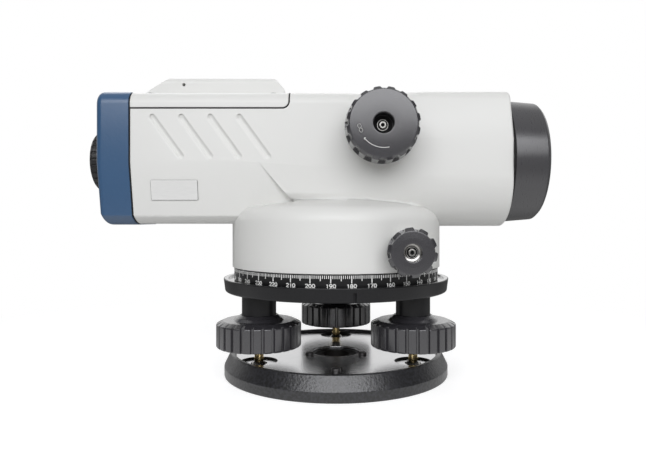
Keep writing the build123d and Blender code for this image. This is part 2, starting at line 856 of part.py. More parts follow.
# Cover gasket: the dark seal in the lid's seam
with BuildPart() as cover_gasket:
    add(section_bar(rear_x, -lid_front, 0))
    add(lid_space(0), mode=Mode.INTERSECT)
    add(lid_space(seal), mode=Mode.SUBTRACT)
    add(rear_hollow(rear_bulkhead), mode=Mode.SUBTRACT)
    for x, y, z in lid_screws:
        add(tube(lid_z - seal, lid_z + 2 * seal, small_shank_radius + fit, 0, UP, (x, y, 0)),
            mode=Mode.SUBTRACT)
save(cover_gasket, "cover_gasket")

# Cover screws: four pan-head screws sunk into the lid's top
with BuildPart() as cover_screws:
    for place in lid_screws:
        add(slotted_screw(tube_top - lid_screw_sink, lid_screw_radius, lid_screw_sink - fit,
                          small_shank_radius, lid_height - lid_screw_sink + lid_shank - gap, place))
save(cover_screws, "cover_screws")

# Rear cover: the blue moulding over the reticle end, with a round hole for the eyepiece
rear_end = rear_x - rear_cover_length
with BuildPart() as rear_cover:
    add(rear_bar(rear_end, rear_x - seal, -rear_cover_proud))
    fillet(rear_cover.faces().sort_by(Axis.X)[0].edges(), rear_edge)
    add(rear_bar(rear_end + rear_cover_wall, rear_x - seal, rear_cover_wall), mode=Mode.SUBTRACT)
    add(tube(rear_end, rear_x, holder_radius + gap, 0, FORWARD, optic), mode=Mode.SUBTRACT)
save(rear_cover, "rear_cover")

# Rear gasket: the dark seal between the rear cover and the housing
with BuildPart() as rear_gasket:
    add(rear_bar(rear_x - seal, rear_x, 0))
    add(rear_bar(rear_x - seal, rear_x, rear_cover_wall), mode=Mode.SUBTRACT)
save(rear_gasket, "rear_gasket")

# Label plate: a bare plate on the drawn-in lower side
with BuildPart() as label_plate:
    flank = Plane((0, -tube_half_width, crease_z), x_dir=(1, 0, 0),
                  z_dir=(0, tube_bottom - crease_z, -flank_draw))
    with BuildSketch(flank):
        with Locations((-label_rear + label_width / 2, -label_drop)):
            RectangleRounded(label_width, label_height, label_thickness)
    extrude(amount=label_thickness)
save(label_plate, "label_plate")

# Objective cell: the turned barrel in the housing's front wall, with a seat for the cemented lenses
cell_front = tube_front + cell_nose
lens_x = cell_front - lens_thickness
lens_clear = cell_bore - gap
with BuildPart() as objective_cell:
    add(turned([
        (tube_front - cell_reach, cell_bore), (lens_x, cell_bore), (lens_x, lens_radius + fit),
        (cell_front, lens_radius + fit), (cell_front, cell_radius),
        (tube_front + cell_flange, cell_radius), (tube_front + cell_flange, cell_flange_radius),
        (tube_front, cell_flange_radius), (tube_front, cell_radius),
        (tube_front - cell_reach, cell_radius),
    ], FORWARD, optic))
save(objective_cell, "objective_cell")


# Objective lenses: a cemented doublet with a flat back and a domed front
with BuildPart() as objective_lenses:
    with BuildSketch(Plane(optic, x_dir=FORWARD, z_dir=SIDE[FORWARD])):
        with BuildLine():
            Polyline((cell_front + lens_bulge, 0), (lens_x, 0), (lens_x, lens_radius),
                     (cell_front, lens_radius), (cell_front, lens_clear))
            RadiusArc((cell_front, lens_clear), (cell_front + lens_bulge, 0),
                      (lens_clear ** 2 + lens_bulge ** 2) / (2 * lens_bulge))
        make_face()
    revolve(axis=Axis(optic, FORWARD))
save(objective_lenses, "objective_lenses")

# Objective hood: the dark shade ring that screws over the cell, with a lip that keeps the lenses in
hood_front = tube_front + hood_length
with BuildPart() as objective_hood:
    add(turned([
        (tube_front, cell_flange_radius + fit), (tube_front, hood_radius),
        (hood_front - hood_edge, hood_front_radius), (hood_front, hood_front_radius - hood_edge),
        (hood_front, hood_bore), (cell_front + hood_lip, hood_bore), (cell_front + hood_lip, cell_bore),
        (cell_front + fit, cell_bore), (cell_front + fit, cell_radius + fit),
        (tube_front + cell_flange + fit, cell_radius + fit),
        (tube_front + cell_flange + fit, cell_flange_radius + fit),
    ], FORWARD, optic))
save(objective_hood, "objective_hood")

# Focus guide: the fixed tube that the focusing cell slides in, slotted for the rack's arm
pinion_pitch = pinion_module * pinion_teeth / 2
rack_pitch = pi * pinion_module
rack_line = focus_z - pinion_pitch
rack_inner = guide_radius + gap
rack_outer = rack_inner + rack_width
rack_root = rack_line - tooth_root * pinion_module
rack_foot = rack_root - rack_depth
arm_low = rack_foot - arm_height
arm_high = rack_foot + gap
with BuildPart() as focus_guide:
    add(tube(guide_start, guide_end, guide_radius, guide_bore + run, FORWARD, optic))
    slot_half = focus_travel + arm_half + gap
    add(block((focus_x - slot_half, focus_x + slot_half), (-guide_radius - wall, -guide_bore / 2),
              (arm_low - gap, arm_high + gap)), mode=Mode.SUBTRACT)
save(focus_guide, "focus_guide")

# Focusing cell: the sliding barrel with its arm and rack
cell_x = (guide_start + guide_end - focus_cell_length) / 2
rack_half = focus_travel + pinion_pitch + rack_pitch
tooth_spots = [index + 0.5 for index in range(-int(rack_half / rack_pitch), int(rack_half / rack_pitch))]
pinion_half = pinion_tooth_share * rack_pitch / 2
with BuildPart() as focus_cell:
    add(tube(cell_x, cell_x + focus_cell_length, guide_bore, focus_cell_bore, FORWARD, optic))
    arm_root = (focus_cell_bore + guide_bore) / 2
    add(block((focus_x - arm_half, focus_x + arm_half), (-rack_outer, -arm_root), (arm_low, arm_high)))
    add(block((focus_x - rack_half, focus_x + rack_half), (-rack_outer, -rack_inner), (rack_foot, rack_root)))
    with BuildSketch(Plane.XZ.offset(rack_inner)):
        with Locations(*[Location((focus_x + spot * rack_pitch, rack_line), 90) for spot in tooth_spots]):
            Polygon(*tooth(pinion_module, pinion_half), align=None)
    extrude(amount=rack_width)
save(focus_cell, "focus_cell")

# Focusing lens: glued in the focusing cell
with BuildPart() as focus_lens:
    add(tube(cell_x + wall, cell_x + wall + focus_lens_thickness, focus_cell_bore - fit, 0, FORWARD, optic))
save(focus_lens, "focus_lens")

# Focus shaft: carries the pinion that drives the rack
knob_back_y = -focus_boss_face - gap
knob_face_y = knob_back_y - focus_knob_length
recess_y = knob_face_y + focus_recess_depth
shaft_end_y = recess_y + knob_screw_reach
with BuildPart() as focus_shaft:
    add(tube(shaft_end_y, -rack_outer, focus_shaft_radius, 0, ACROSS, focus_line))
    add(tube(-rack_outer, -rack_inner, pinion_pitch - tooth_root * pinion_module, 0, ACROSS, focus_line))
    with BuildSketch(Plane((focus_x, 0, focus_z), x_dir=(0, 0, -1), z_dir=(0, -1, 0)).offset(rack_inner)):
        with PolarLocations(pinion_pitch, pinion_teeth):
            Polygon(*tooth(pinion_module, pinion_half), align=None)
    extrude(amount=rack_width)
save(focus_shaft, "focus_shaft")

# Focus bush: the bearing of the focus shaft in the housing's boss
with BuildPart() as focus_bush:
    add(tube(-focus_boss_face, wall - tube_half_width, focus_bush_radius, focus_shaft_radius + run, ACROSS,
             focus_line))
save(focus_bush, "focus_bush")

# Focus knob: tapered, with square ribs and a recess for its screw
with BuildPart() as focus_knob:
    focus_outline = [
        (knob_back_y, focus_shaft_radius + fit), (knob_back_y, focus_knob_back - knob_edge),
        (knob_back_y - knob_edge, focus_knob_back), (knob_face_y + knob_face_edge, focus_knob_face),
        (knob_face_y, focus_knob_face - knob_face_edge), (knob_face_y, focus_recess_radius),
        (recess_y, focus_recess_radius), (recess_y, focus_shaft_radius + fit),
    ]
    add(grooved(turned(focus_outline, ACROSS, focus_line), ACROSS, focus_line,
                (knob_face_y, knob_back_y - rib_stop), focus_knob_back,
                focus_knob_back - focus_knob_face + rib_depth, rib_gap, focus_ribs))
save(focus_knob, "focus_knob")


def knob_screw(face, inward, washer_radius, shank_radius, length, origin):
    """A washer and socket screw in a knob's recess, on an axis across the instrument."""
    washer_top = face - inward * washer_thickness
    head_top = washer_top - inward * washer_thickness
    with BuildPart() as screw:
        add(tube(face, washer_top, washer_radius, 0, ACROSS, origin))
        add(tube(washer_top, head_top, knob_screw_radius, 0, ACROSS, origin))
        add(tube(face, face + inward * length, shank_radius, 0, ACROSS, origin))
        with BuildSketch(Plane((origin[0], head_top, origin[2]), x_dir=FORWARD, z_dir=ACROSS)):
            RegularPolygon(knob_socket_radius, 6)
        extrude(amount=inward * washer_thickness, mode=Mode.SUBTRACT)
    return screw.part


# Focus knob screw: the washer and socket screw in the knob's recess
with BuildPart() as focus_knob_screw:
    add(knob_screw(recess_y, 1, focus_recess_radius - gap, focus_shaft_radius, knob_screw_reach, focus_line))
save(focus_knob_screw, "focus_knob_screw")

# Tangent shaft: one shaft right across the drum, with the worm at its middle
tangent_knob_back = tangent_boss_reach + gap
tangent_knob_end = tangent_knob_back + tangent_knob_length
tangent_recess = tangent_knob_end - tangent_recess_depth
tangent_shaft_end = tangent_recess - knob_screw_reach
worm_root = worm_radius - tooth_root * wheel_module
worm_half = worm_turns * tooth_pitch / 2
with BuildPart() as worm_thread:
    with BuildLine() as thread_path:
        Helix(tooth_pitch, 2 * worm_half, worm_root, center=(0, 0, -worm_half))
    with BuildSketch(Plane(thread_path.line @ 0, x_dir=(1, 0, 0), z_dir=thread_path.line % 0)):
        with Locations((worm_radius - worm_root, 0)):
            Polygon(*tooth(wheel_module, tooth_half), align=None)
    sweep(path=thread_path.line, is_frenet=True)
with BuildPart() as tangent_shaft:
    with Locations(tangent_line):
        add(worm_thread.part, rotation=(-90, 0, 0))
    add(tube(-worm_half - wall, worm_half + wall, worm_root, 0, ACROSS, tangent_line))
    add(tube(-tangent_shaft_end, tangent_shaft_end, tangent_shaft_radius, 0, ACROSS, tangent_line))
save(tangent_shaft, "tangent_shaft")

# Tangent bushes: the shaft's two bearings in the drum's bosses
bush_inner = (drum_hollow ** 2 - (tangent_x + tangent_bush_radius) ** 2) ** 0.5
with BuildPart() as tangent_bushes:
    for side in (-1, 1):
        add(tube(side * bush_inner, side * tangent_boss_reach, tangent_bush_radius,
                 tangent_shaft_radius + run, ACROSS, tangent_line))
save(tangent_bushes, "tangent_bushes")

# Tangent knobs: one on each side of the drum
for name, side in (("near", -1), ("far", 1)):
    with BuildPart() as tangent_knob:
        tangent_outline = [
            (side * tangent_knob_back, tangent_shaft_radius + fit),
            (side * tangent_knob_back, tangent_knob_radius - knob_edge),
            (side * (tangent_knob_back + knob_edge), tangent_knob_radius),
            (side * (tangent_knob_end - knob_face_edge), tangent_knob_radius + tangent_flare),
            (side * tangent_knob_end, tangent_knob_radius + tangent_flare - knob_face_edge),
            (side * tangent_knob_end, tangent_recess_radius),
            (side * tangent_recess, tangent_recess_radius),
            (side * tangent_recess, tangent_shaft_radius + fit),
        ]
        rib_ends = (side * (tangent_knob_back + rib_stop), side * tangent_knob_end)
        add(grooved(turned(tangent_outline, ACROSS, tangent_line), ACROSS, tangent_line, rib_ends,
                    tangent_knob_radius + tangent_flare, rib_depth, rib_gap, tangent_ribs))
    save(tangent_knob, f"tangent_knob_{name}")

# Tangent knob screws: one in each knob's recess
with BuildPart() as tangent_knob_screws:
    for side in (-1, 1):
        add(knob_screw(side * tangent_recess, -side, tangent_recess_radius - gap, tangent_shaft_radius,
                       knob_screw_reach, tangent_line))
save(tangent_knob_screws, "tangent_knob_screws")

# Eyepiece holder: the fixed tube through the rear wall, flanged inside it
ring_end = rear_end - gap - ring_length
ring_floor = ring_end + ring_lip
holder_end = ring_floor + gap
holder_nose = hollow_rear + holder_length
with BuildPart() as eyepiece_holder:
    add(turned([
        (holder_end, holder_bore + run), (holder_nose, holder_bore + run), (holder_nose, holder_radius),
        (hollow_rear + wall, holder_radius), (hollow_rear + wall, holder_flange),
        (hollow_rear, holder_flange), (hollow_rear, holder_radius), (holder_end, holder_radius),
    ], FORWARD, optic))
save(eyepiece_holder, "eyepiece_holder")

# Reticle cell and reticle: the ring that carries the cross-hair glass
reticle_x = holder_nose - 2 * wall
with BuildPart() as reticle_cell:
    add(tube(reticle_x, reticle_x + wall + reticle_thickness, holder_bore + run / 2, reticle_radius + fit,
             FORWARD, optic))
save(reticle_cell, "reticle_cell")
with BuildPart() as reticle_glass:
    glass_x = reticle_x + wall / 2
    add(tube(glass_x, glass_x + reticle_thickness, reticle_radius, 0, FORWARD, optic))
save(reticle_glass, "reticle_glass")

# Dioptre ring: the ribbed black ring that the eye end is focused with
with BuildPart() as dioptre_ring:
    ring_outline = [
        (ring_end, ring_bore), (ring_end, ring_radius - ring_edge), (ring_end + ring_edge, ring_radius),
        (rear_end - gap - ring_heel, ring_radius), (rear_end - gap, ring_radius - ring_heel),
        (rear_end - gap, holder_radius + run), (ring_floor, holder_radius + run), (ring_floor, ring_bore),
    ]
    add(grooved(turned(ring_outline, FORWARD, optic), FORWARD, optic, (ring_end + ring_edge, rear_end - gap),
                ring_radius, ring_rib_depth, ring_rib_gap, ring_ribs))
save(dioptre_ring, "dioptre_ring")

# Eyepiece tube and lenses: the sliding barrel that the dioptre ring drives
eyepiece_end = ring_floor + gap + eyepiece_travel
eyepiece_front = eyepiece_end + eyepiece_length
with BuildPart() as eyepiece_tube:
    add(tube(eyepiece_end, eyepiece_front, holder_bore, holder_bore - eyepiece_wall, FORWARD, optic))
save(eyepiece_tube, "eyepiece_tube")
with BuildPart() as eyepiece_lenses:
    for start in (eyepiece_end + eye_lens_inset, eyepiece_front - eye_lens_inset - eye_lens_thickness):
        add(tube(start, start + eye_lens_thickness, holder_bore - eyepiece_wall - fit, 0, FORWARD, optic))
save(eyepiece_lenses, "eyepiece_lenses")

# Compensator frame: a plate on the housing's floor with two cheeks, two bridges and two prism posts
frame_top = floor_z + frame_plate
bridge_z = frame_top + cheek_height - bridge
prism_z = optic_z - prism_side / 2
cheek_inner = frame_half_width - cheek
bridge_half = frame_half_width - cheek / 2
prism_spots = {-1: -frame_rear + prism_side / 2, 1: -frame_front - prism_side / 2}
with BuildPart() as compensator_frame:
    add(block((-frame_rear, -frame_front), (-frame_half_width, frame_half_width), (floor_z, frame_top)))
    for side in (-1, 1):
        add(block((pendulum_x - pendulum_length, pendulum_x + pendulum_length),
                  (side * cheek_inner, side * frame_half_width), (floor_z, bridge_z + bridge)))
        bridge_x = pendulum_x + side * wire_spread
        add(block((bridge_x - bridge / 2, bridge_x + bridge / 2), (-bridge_half, bridge_half),
                  (bridge_z, bridge_z + bridge)))
        post_x = prism_spots[side]
        add(block((post_x - post_half, post_x + post_half), (-prism_half_width, prism_half_width),
                  (floor_z, prism_z)))
save(compensator_frame, "compensator_frame")

# Compensator prisms: the two fixed roof prisms on the frame's posts
with BuildPart() as compensator_prisms:
    for side, middle in prism_spots.items():
        with BuildSketch(Plane.XZ):
            with BuildLine():
                Polyline((middle - prism_side / 2, prism_z), (middle + prism_side / 2, prism_z),
                         (middle + prism_side / 2, prism_z + prism_side / 2),
                         (middle, prism_z + prism_side), (middle - prism_side / 2, prism_z + prism_side / 2),
                         close=True)
            make_face()
        extrude(amount=prism_half_width, both=True)
save(compensator_prisms, "compensator_prisms")

# Damper cup: the magnet cup that steadies the pendulum
with BuildPart() as damper_cup:
    add(turned([
        (frame_top, 0), (frame_top, damper_radius), (frame_top + damper_height, damper_radius),
        (frame_top + damper_height, damper_radius - damper_wall),
        (frame_top + damper_floor, damper_radius - damper_wall), (frame_top + damper_floor, 0),
    ], UP, (pendulum_x, 0, 0)))
save(damper_cup, "damper_cup")

# Pendulum: the swinging block under the wires, with its damping piston
pendulum_z = prism_z - pendulum_height
piston_z = frame_top + 2 * damper_floor
flange_half = cheek_inner - swing_gap
with BuildPart() as pendulum:
    add(block((pendulum_x - pendulum_length / 2, pendulum_x + pendulum_length / 2),
              (-pendulum_half_width, pendulum_half_width), (pendulum_z, prism_z)))
    add(block((pendulum_x - pendulum_length / 2, pendulum_x + pendulum_length / 2),
              (-flange_half, flange_half), (pendulum_z, pendulum_z + pendulum_flange)))
    add(tube(piston_z, piston_z + piston_height, piston_radius, 0, UP, (pendulum_x, 0, 0)))
    add(tube(piston_z, pendulum_z, piston_stem, 0, UP, (pendulum_x, 0, 0)))
save(pendulum, "pendulum")

# Pendulum prism: the moving prism on the pendulum
with BuildPart() as pendulum_prism:
    add(block((pendulum_x - pendulum_length / 2, pendulum_x + pendulum_length / 2),
              (-prism_half_width, prism_half_width), (prism_z, prism_z + prism_side)))
save(pendulum_prism, "pendulum_prism")

# Suspension wires: four fine wires from the bridges down to the pendulum's flange
wire_y = (pendulum_half_width + flange_half) / 2
with BuildPart() as suspension_wires:
    for x_side in (-1, 1):
        for y_side in (-1, 1):
            add(tube(pendulum_z + pendulum_flange, bridge_z - air, wire_radius, 0, UP,
                     (pendulum_x + x_side * wire_spread, y_side * wire_y, 0)))
save(suspension_wires, "suspension_wires")

# Level cup, vial and screws: the circular level on its boss at the far side
with BuildPart() as level_cup:
    add(turned([
        (level_z, 0), (level_z, cup_flange_radius), (level_z + cup_flange_height, cup_flange_radius),
        (level_z + cup_flange_height, cup_radius), (level_z + cup_height, cup_radius),
        (level_z + cup_height, cup_radius - cup_wall), (level_z + cup_floor, cup_radius - cup_wall),
        (level_z + cup_floor, 0),
    ], UP, level_spot))
    for place in level_screws_at:
        add(tube(level_z, level_z + cup_flange_height, small_shank_radius + fit, 0, UP, place),
            mode=Mode.SUBTRACT)
save(level_cup, "level_cup")
with BuildPart() as level_vial:
    add(turned([
        (level_z + cup_floor, 0), (level_z + cup_floor, cup_radius - cup_wall - fit),
        (level_z + cup_height - vial_edge, cup_radius - cup_wall - fit),
        (level_z + cup_height - vial_sink, cup_radius - cup_wall - vial_edge),
        (level_z + cup_height - vial_sink, 0),
    ], UP, level_spot))
save(level_vial, "level_vial")
with BuildPart() as level_screws:
    for place in level_screws_at:
        add(slotted_screw(level_z + cup_flange_height, level_head_radius, small_head_height,
                          small_shank_radius, level_shank + cup_flange_height - gap, place))
save(level_screws, "level_screws")

# Bubble mirror: a hinged arm with a mirror glued under it, which shows the bubble at the eye end
arm_plane = Plane(mirror_line, x_dir=(-cos(radians(mirror_tilt)), 0, sin(radians(mirror_tilt))),
                  z_dir=(sin(radians(mirror_tilt)), 0, cos(radians(mirror_tilt))))
with BuildPart() as mirror_arm:
    add(tube(-ear_outer, ear_outer, mirror_pin_radius, 0, ACROSS, mirror_line))
    add(tube(-mirror_half_width, mirror_half_width, mirror_hub_radius, 0, ACROSS, mirror_line))
    with BuildSketch(arm_plane):
        with Locations((mirror_length / 2, 0)):
            RectangleRounded(mirror_length, 2 * mirror_half_width, mirror_pin_radius)
    extrude(amount=mirror_arm_thickness)
save(mirror_arm, "mirror_arm")
glass_start = mirror_hub_radius + mirror_border
glass_length = mirror_length - glass_start - mirror_border
with BuildPart() as bubble_mirror:
    with BuildSketch(arm_plane):
        with Locations((glass_start + glass_length / 2, 0)):
            Rectangle(glass_length, 2 * (mirror_half_width - mirror_border))
    extrude(amount=-mirror_glass_thickness)
save(bubble_mirror, "bubble_mirror")
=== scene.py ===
import math

import bmesh
import bpy
from mathutils import Matrix, Vector


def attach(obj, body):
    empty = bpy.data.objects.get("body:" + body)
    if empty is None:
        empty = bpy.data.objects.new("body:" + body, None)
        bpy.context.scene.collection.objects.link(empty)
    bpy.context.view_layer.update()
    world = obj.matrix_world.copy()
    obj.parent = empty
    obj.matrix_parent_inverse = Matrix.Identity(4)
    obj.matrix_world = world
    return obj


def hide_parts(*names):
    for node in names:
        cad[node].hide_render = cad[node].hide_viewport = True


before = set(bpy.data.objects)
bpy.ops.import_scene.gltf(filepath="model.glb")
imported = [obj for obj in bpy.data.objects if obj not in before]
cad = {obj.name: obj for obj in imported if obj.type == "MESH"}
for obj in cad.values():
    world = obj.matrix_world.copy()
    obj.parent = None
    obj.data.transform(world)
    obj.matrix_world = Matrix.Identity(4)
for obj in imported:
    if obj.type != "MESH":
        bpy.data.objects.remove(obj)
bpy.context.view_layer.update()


# Base plate: the round cast foot that stands on the tripod, with a low sloped rim.
# Cast light alloy in black crinkle paint, turned on its floor and rim, with three ball
# sockets sunk from above and a hub for the tripod screw.
UP = Vector((0, 0, 1))
FORWARD = Vector((1, 0, 0))
ACROSS = Vector((0, 1, 0))
ALONG = {"UP": UP, "FORWARD": FORWARD, "ACROSS": ACROSS}
OUTWARD = {"UP": FORWARD, "FORWARD": UP, "ACROSS": UP}
MM = 0.001
SOFT_ANGLE = math.radians(35)


def eased(outline):
    """A closed outline of (along, out, rounding) corners, with an arc for each rounded one."""
    arc_steps = 4
    nearly_straight = 1.55
    side_share = 0.45
    hold_share = 0.1
    longest_hold = 0.12
    points = []
    count = len(outline)
    for index, (along, out, rounding) in enumerate(outline):
        corner = Vector((along, out))
        before = Vector(outline[index - 1][:2]) - corner
        after = Vector(outline[(index + 1) % count][:2]) - corner
        half = before.angle(after) / 2
        if rounding == 0 or half > nearly_straight:
            points.append(corner)
            continue
        reach = min(rounding / math.tan(half), side_share * before.length, side_share * after.length)
        radius = reach * math.tan(half)
        start = corner + before.normalized() * reach
        end = corner + after.normalized() * reach
        centre = corner + (before.normalized() + after.normalized()).normalized() * radius / math.sin(half)
        turn = math.pi - 2 * half
        hold = min(longest_hold, hold_share * before.length, hold_share * after.length)
        points.append(start + before.normalized() * hold)
        for step in range(arc_steps + 1):
            share = step / arc_steps
            from_start = math.sin((1 - share) * turn) / math.sin(turn)
            from_end = math.sin(share * turn) / math.sin(turn)
            points.append(centre + (start - centre) * from_start + (end - centre) * from_end)
        points.append(end + after.normalized() * hold)
    return points


def meshed(shape, name):
    """The finished mesh of a shape."""
    mesh = bpy.data.meshes.new(name)
    shape.to_mesh(mesh)
    shape.free()
    return mesh


def turned(outline, axis, origin, steps):
    """A turned mesh from a closed outline of (along, out, rounding) corners in mm."""
    same_place = 1e-7
    along = ALONG[axis]
    out = OUTWARD[axis]
    points = eased(outline)
    shape = bmesh.new()
    grid = []
    for ring in range(steps):
        spin = Matrix.Rotation(math.radians(360 * ring / steps), 3, along)
        spots = [Vector(origin) + along * point.x + spin @ out * point.y for point in points]
        grid.append([shape.verts.new(spot * MM) for spot in spots])
    for ring in range(steps):
        here = grid[ring]
        there = grid[(ring + 1) % steps]
        for index in range(len(points)):
            shape.faces.new((here[index - 1], here[index], there[index], there[index - 1]))
    bmesh.ops.remove_doubles(shape, verts=shape.verts, dist=same_place)
    bmesh.ops.recalc_face_normals(shape, faces=shape.faces)
    return meshed(shape, "turned")


def piece(name, mesh):
    """An object in the scene from a mesh, smooth except across sharp edges."""
    mesh.polygons.foreach_set("use_smooth", [True] * len(mesh.polygons))
    mesh.set_sharp_from_angle(angle=SOFT_ANGLE)
    made = bpy.data.objects.new(name, mesh)
    bpy.context.scene.collection.objects.link(made)
    return made


def settle(made):
    """Turns an object's modifiers into a plain mesh and takes them off."""
    graph = bpy.context.evaluated_depsgraph_get()
    mesh = bpy.data.meshes.new_from_object(made.evaluated_get(graph), depsgraph=graph)
    made.modifiers.clear()
    made.data = mesh
    return made


def carve(made, operation, tools):
    """Cuts or joins tool meshes into a piece."""
    for tool in tools:
        cutter = piece("tool", tool)
        cut = made.modifiers.new("cut", "BOOLEAN")
        cut.operation = operation
        cut.solver = "EXACT"
        cut.object = cutter
        settle(made)
        bpy.data.objects.remove(cutter)
    made.data.set_sharp_from_angle(angle=SOFT_ANGLE)
    return made


def wear(made, material, slot, body, *replaced):
    """Gives a finished piece its material, the body it rides on and the nodes it stands for. The slot is
    not used.
    """
    made.data.materials.clear()
    made.data.materials.append(material)
    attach(made, body)
    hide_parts(*replaced)
    return made


def ink(red, green, blue):
    """A colour written as on screen, 0 to 255, as the shader takes it."""
    shares = [level / 255 for level in (red, green, blue)]
    linear = [share / 12.92 if share < 0.04 else ((share + 0.055) / 1.055) ** 2.4 for share in shares]
    return (*linear, 1)


class Wire:
    """A socket in the node tree of a finish or a shape. Sums on wires add Math nodes."""

    def __init__(self, tree, socket):
        self.tree = tree
        self.socket = socket

    def node(self, kind, settings, inputs, output=0):
        """A new node in the same tree: its settings first, then its sockets' values or links."""
        made = self.tree.nodes.new(kind)
        for name, value in settings.items():
            setattr(made, name, value)
        for name, value in inputs.items():
            if isinstance(value, Wire):
                self.tree.links.new(value.socket, made.inputs[name])
            else:
                made.inputs[name].default_value = value
        return Wire(self.tree, made.outputs[output]) if made.outputs else None

    def math(self, operation, first, second=0.0):
        return self.node("ShaderNodeMath", {"operation": operation}, {0: first, 1: second})

    def split(self):
        """The three numbers of a place or direction."""
        first = self.node("ShaderNodeSeparateXYZ", {}, {"Vector": self})
        return [Wire(self.tree, socket) for socket in first.socket.node.outputs]

    def __add__(self, other):
        return self.math("ADD", self, other)

    def __sub__(self, other):
        return self.math("SUBTRACT", self, other)

    def __rsub__(self, other):
        return self.math("SUBTRACT", other, self)

    def __mul__(self, other):
        return self.math("MULTIPLY", self, other)

    __radd__ = __add__
    __rmul__ = __mul__

    def grain(self, scale, detail=2.0, roughness=0.5):
        """Soft noise of about 1/scale metres, round 0.5."""
        return self.node("ShaderNodeTexNoise", {}, {
            "Vector": self, "Scale": scale, "Detail": detail, "Roughness": roughness})

    def stretched(self, x, y, z):
        """The same place with each axis scaled."""
        return self.node("ShaderNodeMapping", {}, {"Vector": self, "Scale": (x, y, z)})

    def between(self, low, high):
        """0 below low, 1 above high, smooth between them."""
        return self.node("ShaderNodeMapRange", {"interpolation_type": "SMOOTHSTEP"}, {
            "Value": self, "From Min": low, "From Max": high})

    def tint(self, first, second):
        """A colour from first to second as this value goes from 0 to 1."""
        return self.node("ShaderNodeMix", {"data_type": "RGBA"}, {0: self, 6: first, 7: second}, 2)

    def bump(self, depth, strength=1.0):
        """A surface normal from this height, whose full range is a depth in metres."""
        return self.node("ShaderNodeBump", {}, {"Height": self, "Distance": depth, "Strength": strength})


def finish(name):
    """A new material, and a wire with the place on the piece that its patterns are laid on."""
    material = bpy.data.materials.new(name)
    material.use_nodes = True
    material.node_tree.nodes.clear()
    coordinates = material.node_tree.nodes.new("ShaderNodeTexCoord")
    return material, Wire(material.node_tree, coordinates.outputs["Object"])


def coat(place, sockets):
    """Puts the finish's shader on the surface."""
    shader = place.node("ShaderNodeBsdfPrincipled", {}, sockets)
    place.node("ShaderNodeOutputMaterial", {}, {"Surface": shader})


crinkle_paint, place = finish("crinkle_paint")
wrinkle = place.grain(1200, 3.0, 0.6)
pebble = place.node("ShaderNodeTexVoronoi", {"feature": "SMOOTH_F1"}, {
    "Vector": place, "Scale": 900, "Smoothness": 0.5})
height = wrinkle * 0.6 + pebble * 0.5
speck = height.between(0.42, 0.7)
coat(place, {
    "Base Color": speck.tint(ink(8, 8, 10), ink(34, 34, 39)),
    "Roughness": 0.44 - wrinkle * 0.2,
    "Specular IOR Level": 0.95,
    "Normal": height.bump(0.0002, 0.75),
})

hub_bore = 10.52
hub_radius = 18.5
hollow_radius = 31.0
hollow_top = 3.5
base_radius = 55.1
base_side = 4.6
base_rim = 11.0
base_rim_radius = 51.9
base_rim_inner = 49.9
base_floor = 8.2
socket_radius = 4.35
socket_floor = 6.0 - socket_radius
socket_mouth = 12
foot_ring = 41.5
feet = {"left": 210, "right": 330, "rear": 90}


def on_ring(radius, angle, height=0):
    """A point on a level ring about the vertical axis, in mm."""
    return Vector((radius * math.cos(math.radians(angle)), radius * math.sin(math.radians(angle)), height))


base_plate = piece("base_plate_body", turned([
    (0, hub_bore, 0), (0, hub_radius, 0.4), (hollow_top, hub_radius, 0.5), (hollow_top, hollow_radius, 0.5),
    (0, hollow_radius, 0.4), (0, base_radius, 0.6), (base_side, base_radius, 1.0),
    (base_rim, base_rim_radius, 0.6), (base_rim, base_rim_inner, 0.5), (base_floor, base_rim_inner, 0.3),
    (base_floor, hub_bore, 0),
], "UP", (0, 0, 0), 160))
carve(base_plate, "DIFFERENCE", [turned([
    (socket_floor, 0, 0), (socket_mouth, 0, 0), (socket_mouth, socket_radius, 0),
    (socket_floor, socket_radius, 0.4),
], "UP", on_ring(foot_ring, angle), 32) for angle in feet.values()])
wear(base_plate, crinkle_paint, "crinkle_paint", "base", "base_plate")


# Tripod bush: the threaded insert in the hub that the tripod's screw enters.
# Turned brass, blackened and pressed in from below. Only its top shows, through the spring
# plate's hole.
blackened, place = finish("blackened_brass")
patina = place.grain(300, 3.0)
coat(place, {
    "Base Color": patina.tint(ink(18, 17, 16), ink(34, 31, 28)),
    "Metallic": 0.6,
    "Roughness": 0.4 + patina * 0.2,
    "Normal": place.stretched(1, 1, 6).grain(900).bump(0.00004),
})


def dress(material, *names):
    """Gives CAD pieces that keep their own shape a better material."""
    for name in names:
        for part in cad[name].material_slots:
            part.material = material


dress(blackened, "tripod_bush")


# Spring plate: the thin sprung disc that holds the three ball feet in their sockets.
# Pressed from bright rolled steel, with a round hole at its middle and a shallow dimple round each foot,
# whose walls are painted dark as shade, and screwed down to the base plate's floor.
spring_steel, place = finish("spring_steel")
ripple = place.grain(60, 2.0)
rolled = place.stretched(1, 14, 1).grain(900, 2.0)
coat(place, {
    "Base Color": ripple.tint(ink(190, 190, 192), ink(212, 212, 213)),
    "Metallic": 1.0,
    "Roughness": 0.14 + rolled * 0.14,
    "Normal": (ripple * 0.7 + rolled * 0.02).bump(0.00025, 0.25),
})
spring_top = 9.4
spring_radius = 49.6
spring_hole = 11.75
spring_plate = piece("spring_plate_disc", turned([
    (base_floor, spring_hole, 0.2), (base_floor, spring_radius, 0.2), (spring_top, spring_radius, 0.4),
    (spring_top, spring_hole, 0.5),
], "UP", (0, 0, 0), 160))
cut_top = 10.4
foot_hole_radius = 3.85
dimple_radius = 9.0
dimple_floor = 8.4
dimple = [
    (dimple_floor, 0, 0), (cut_top, 0, 0), (cut_top, dimple_radius, 0), (9.6, 8.9, 0.2), (9.32, 8.6, 0.2),
    (dimple_floor, 8.3, 0.2),
]
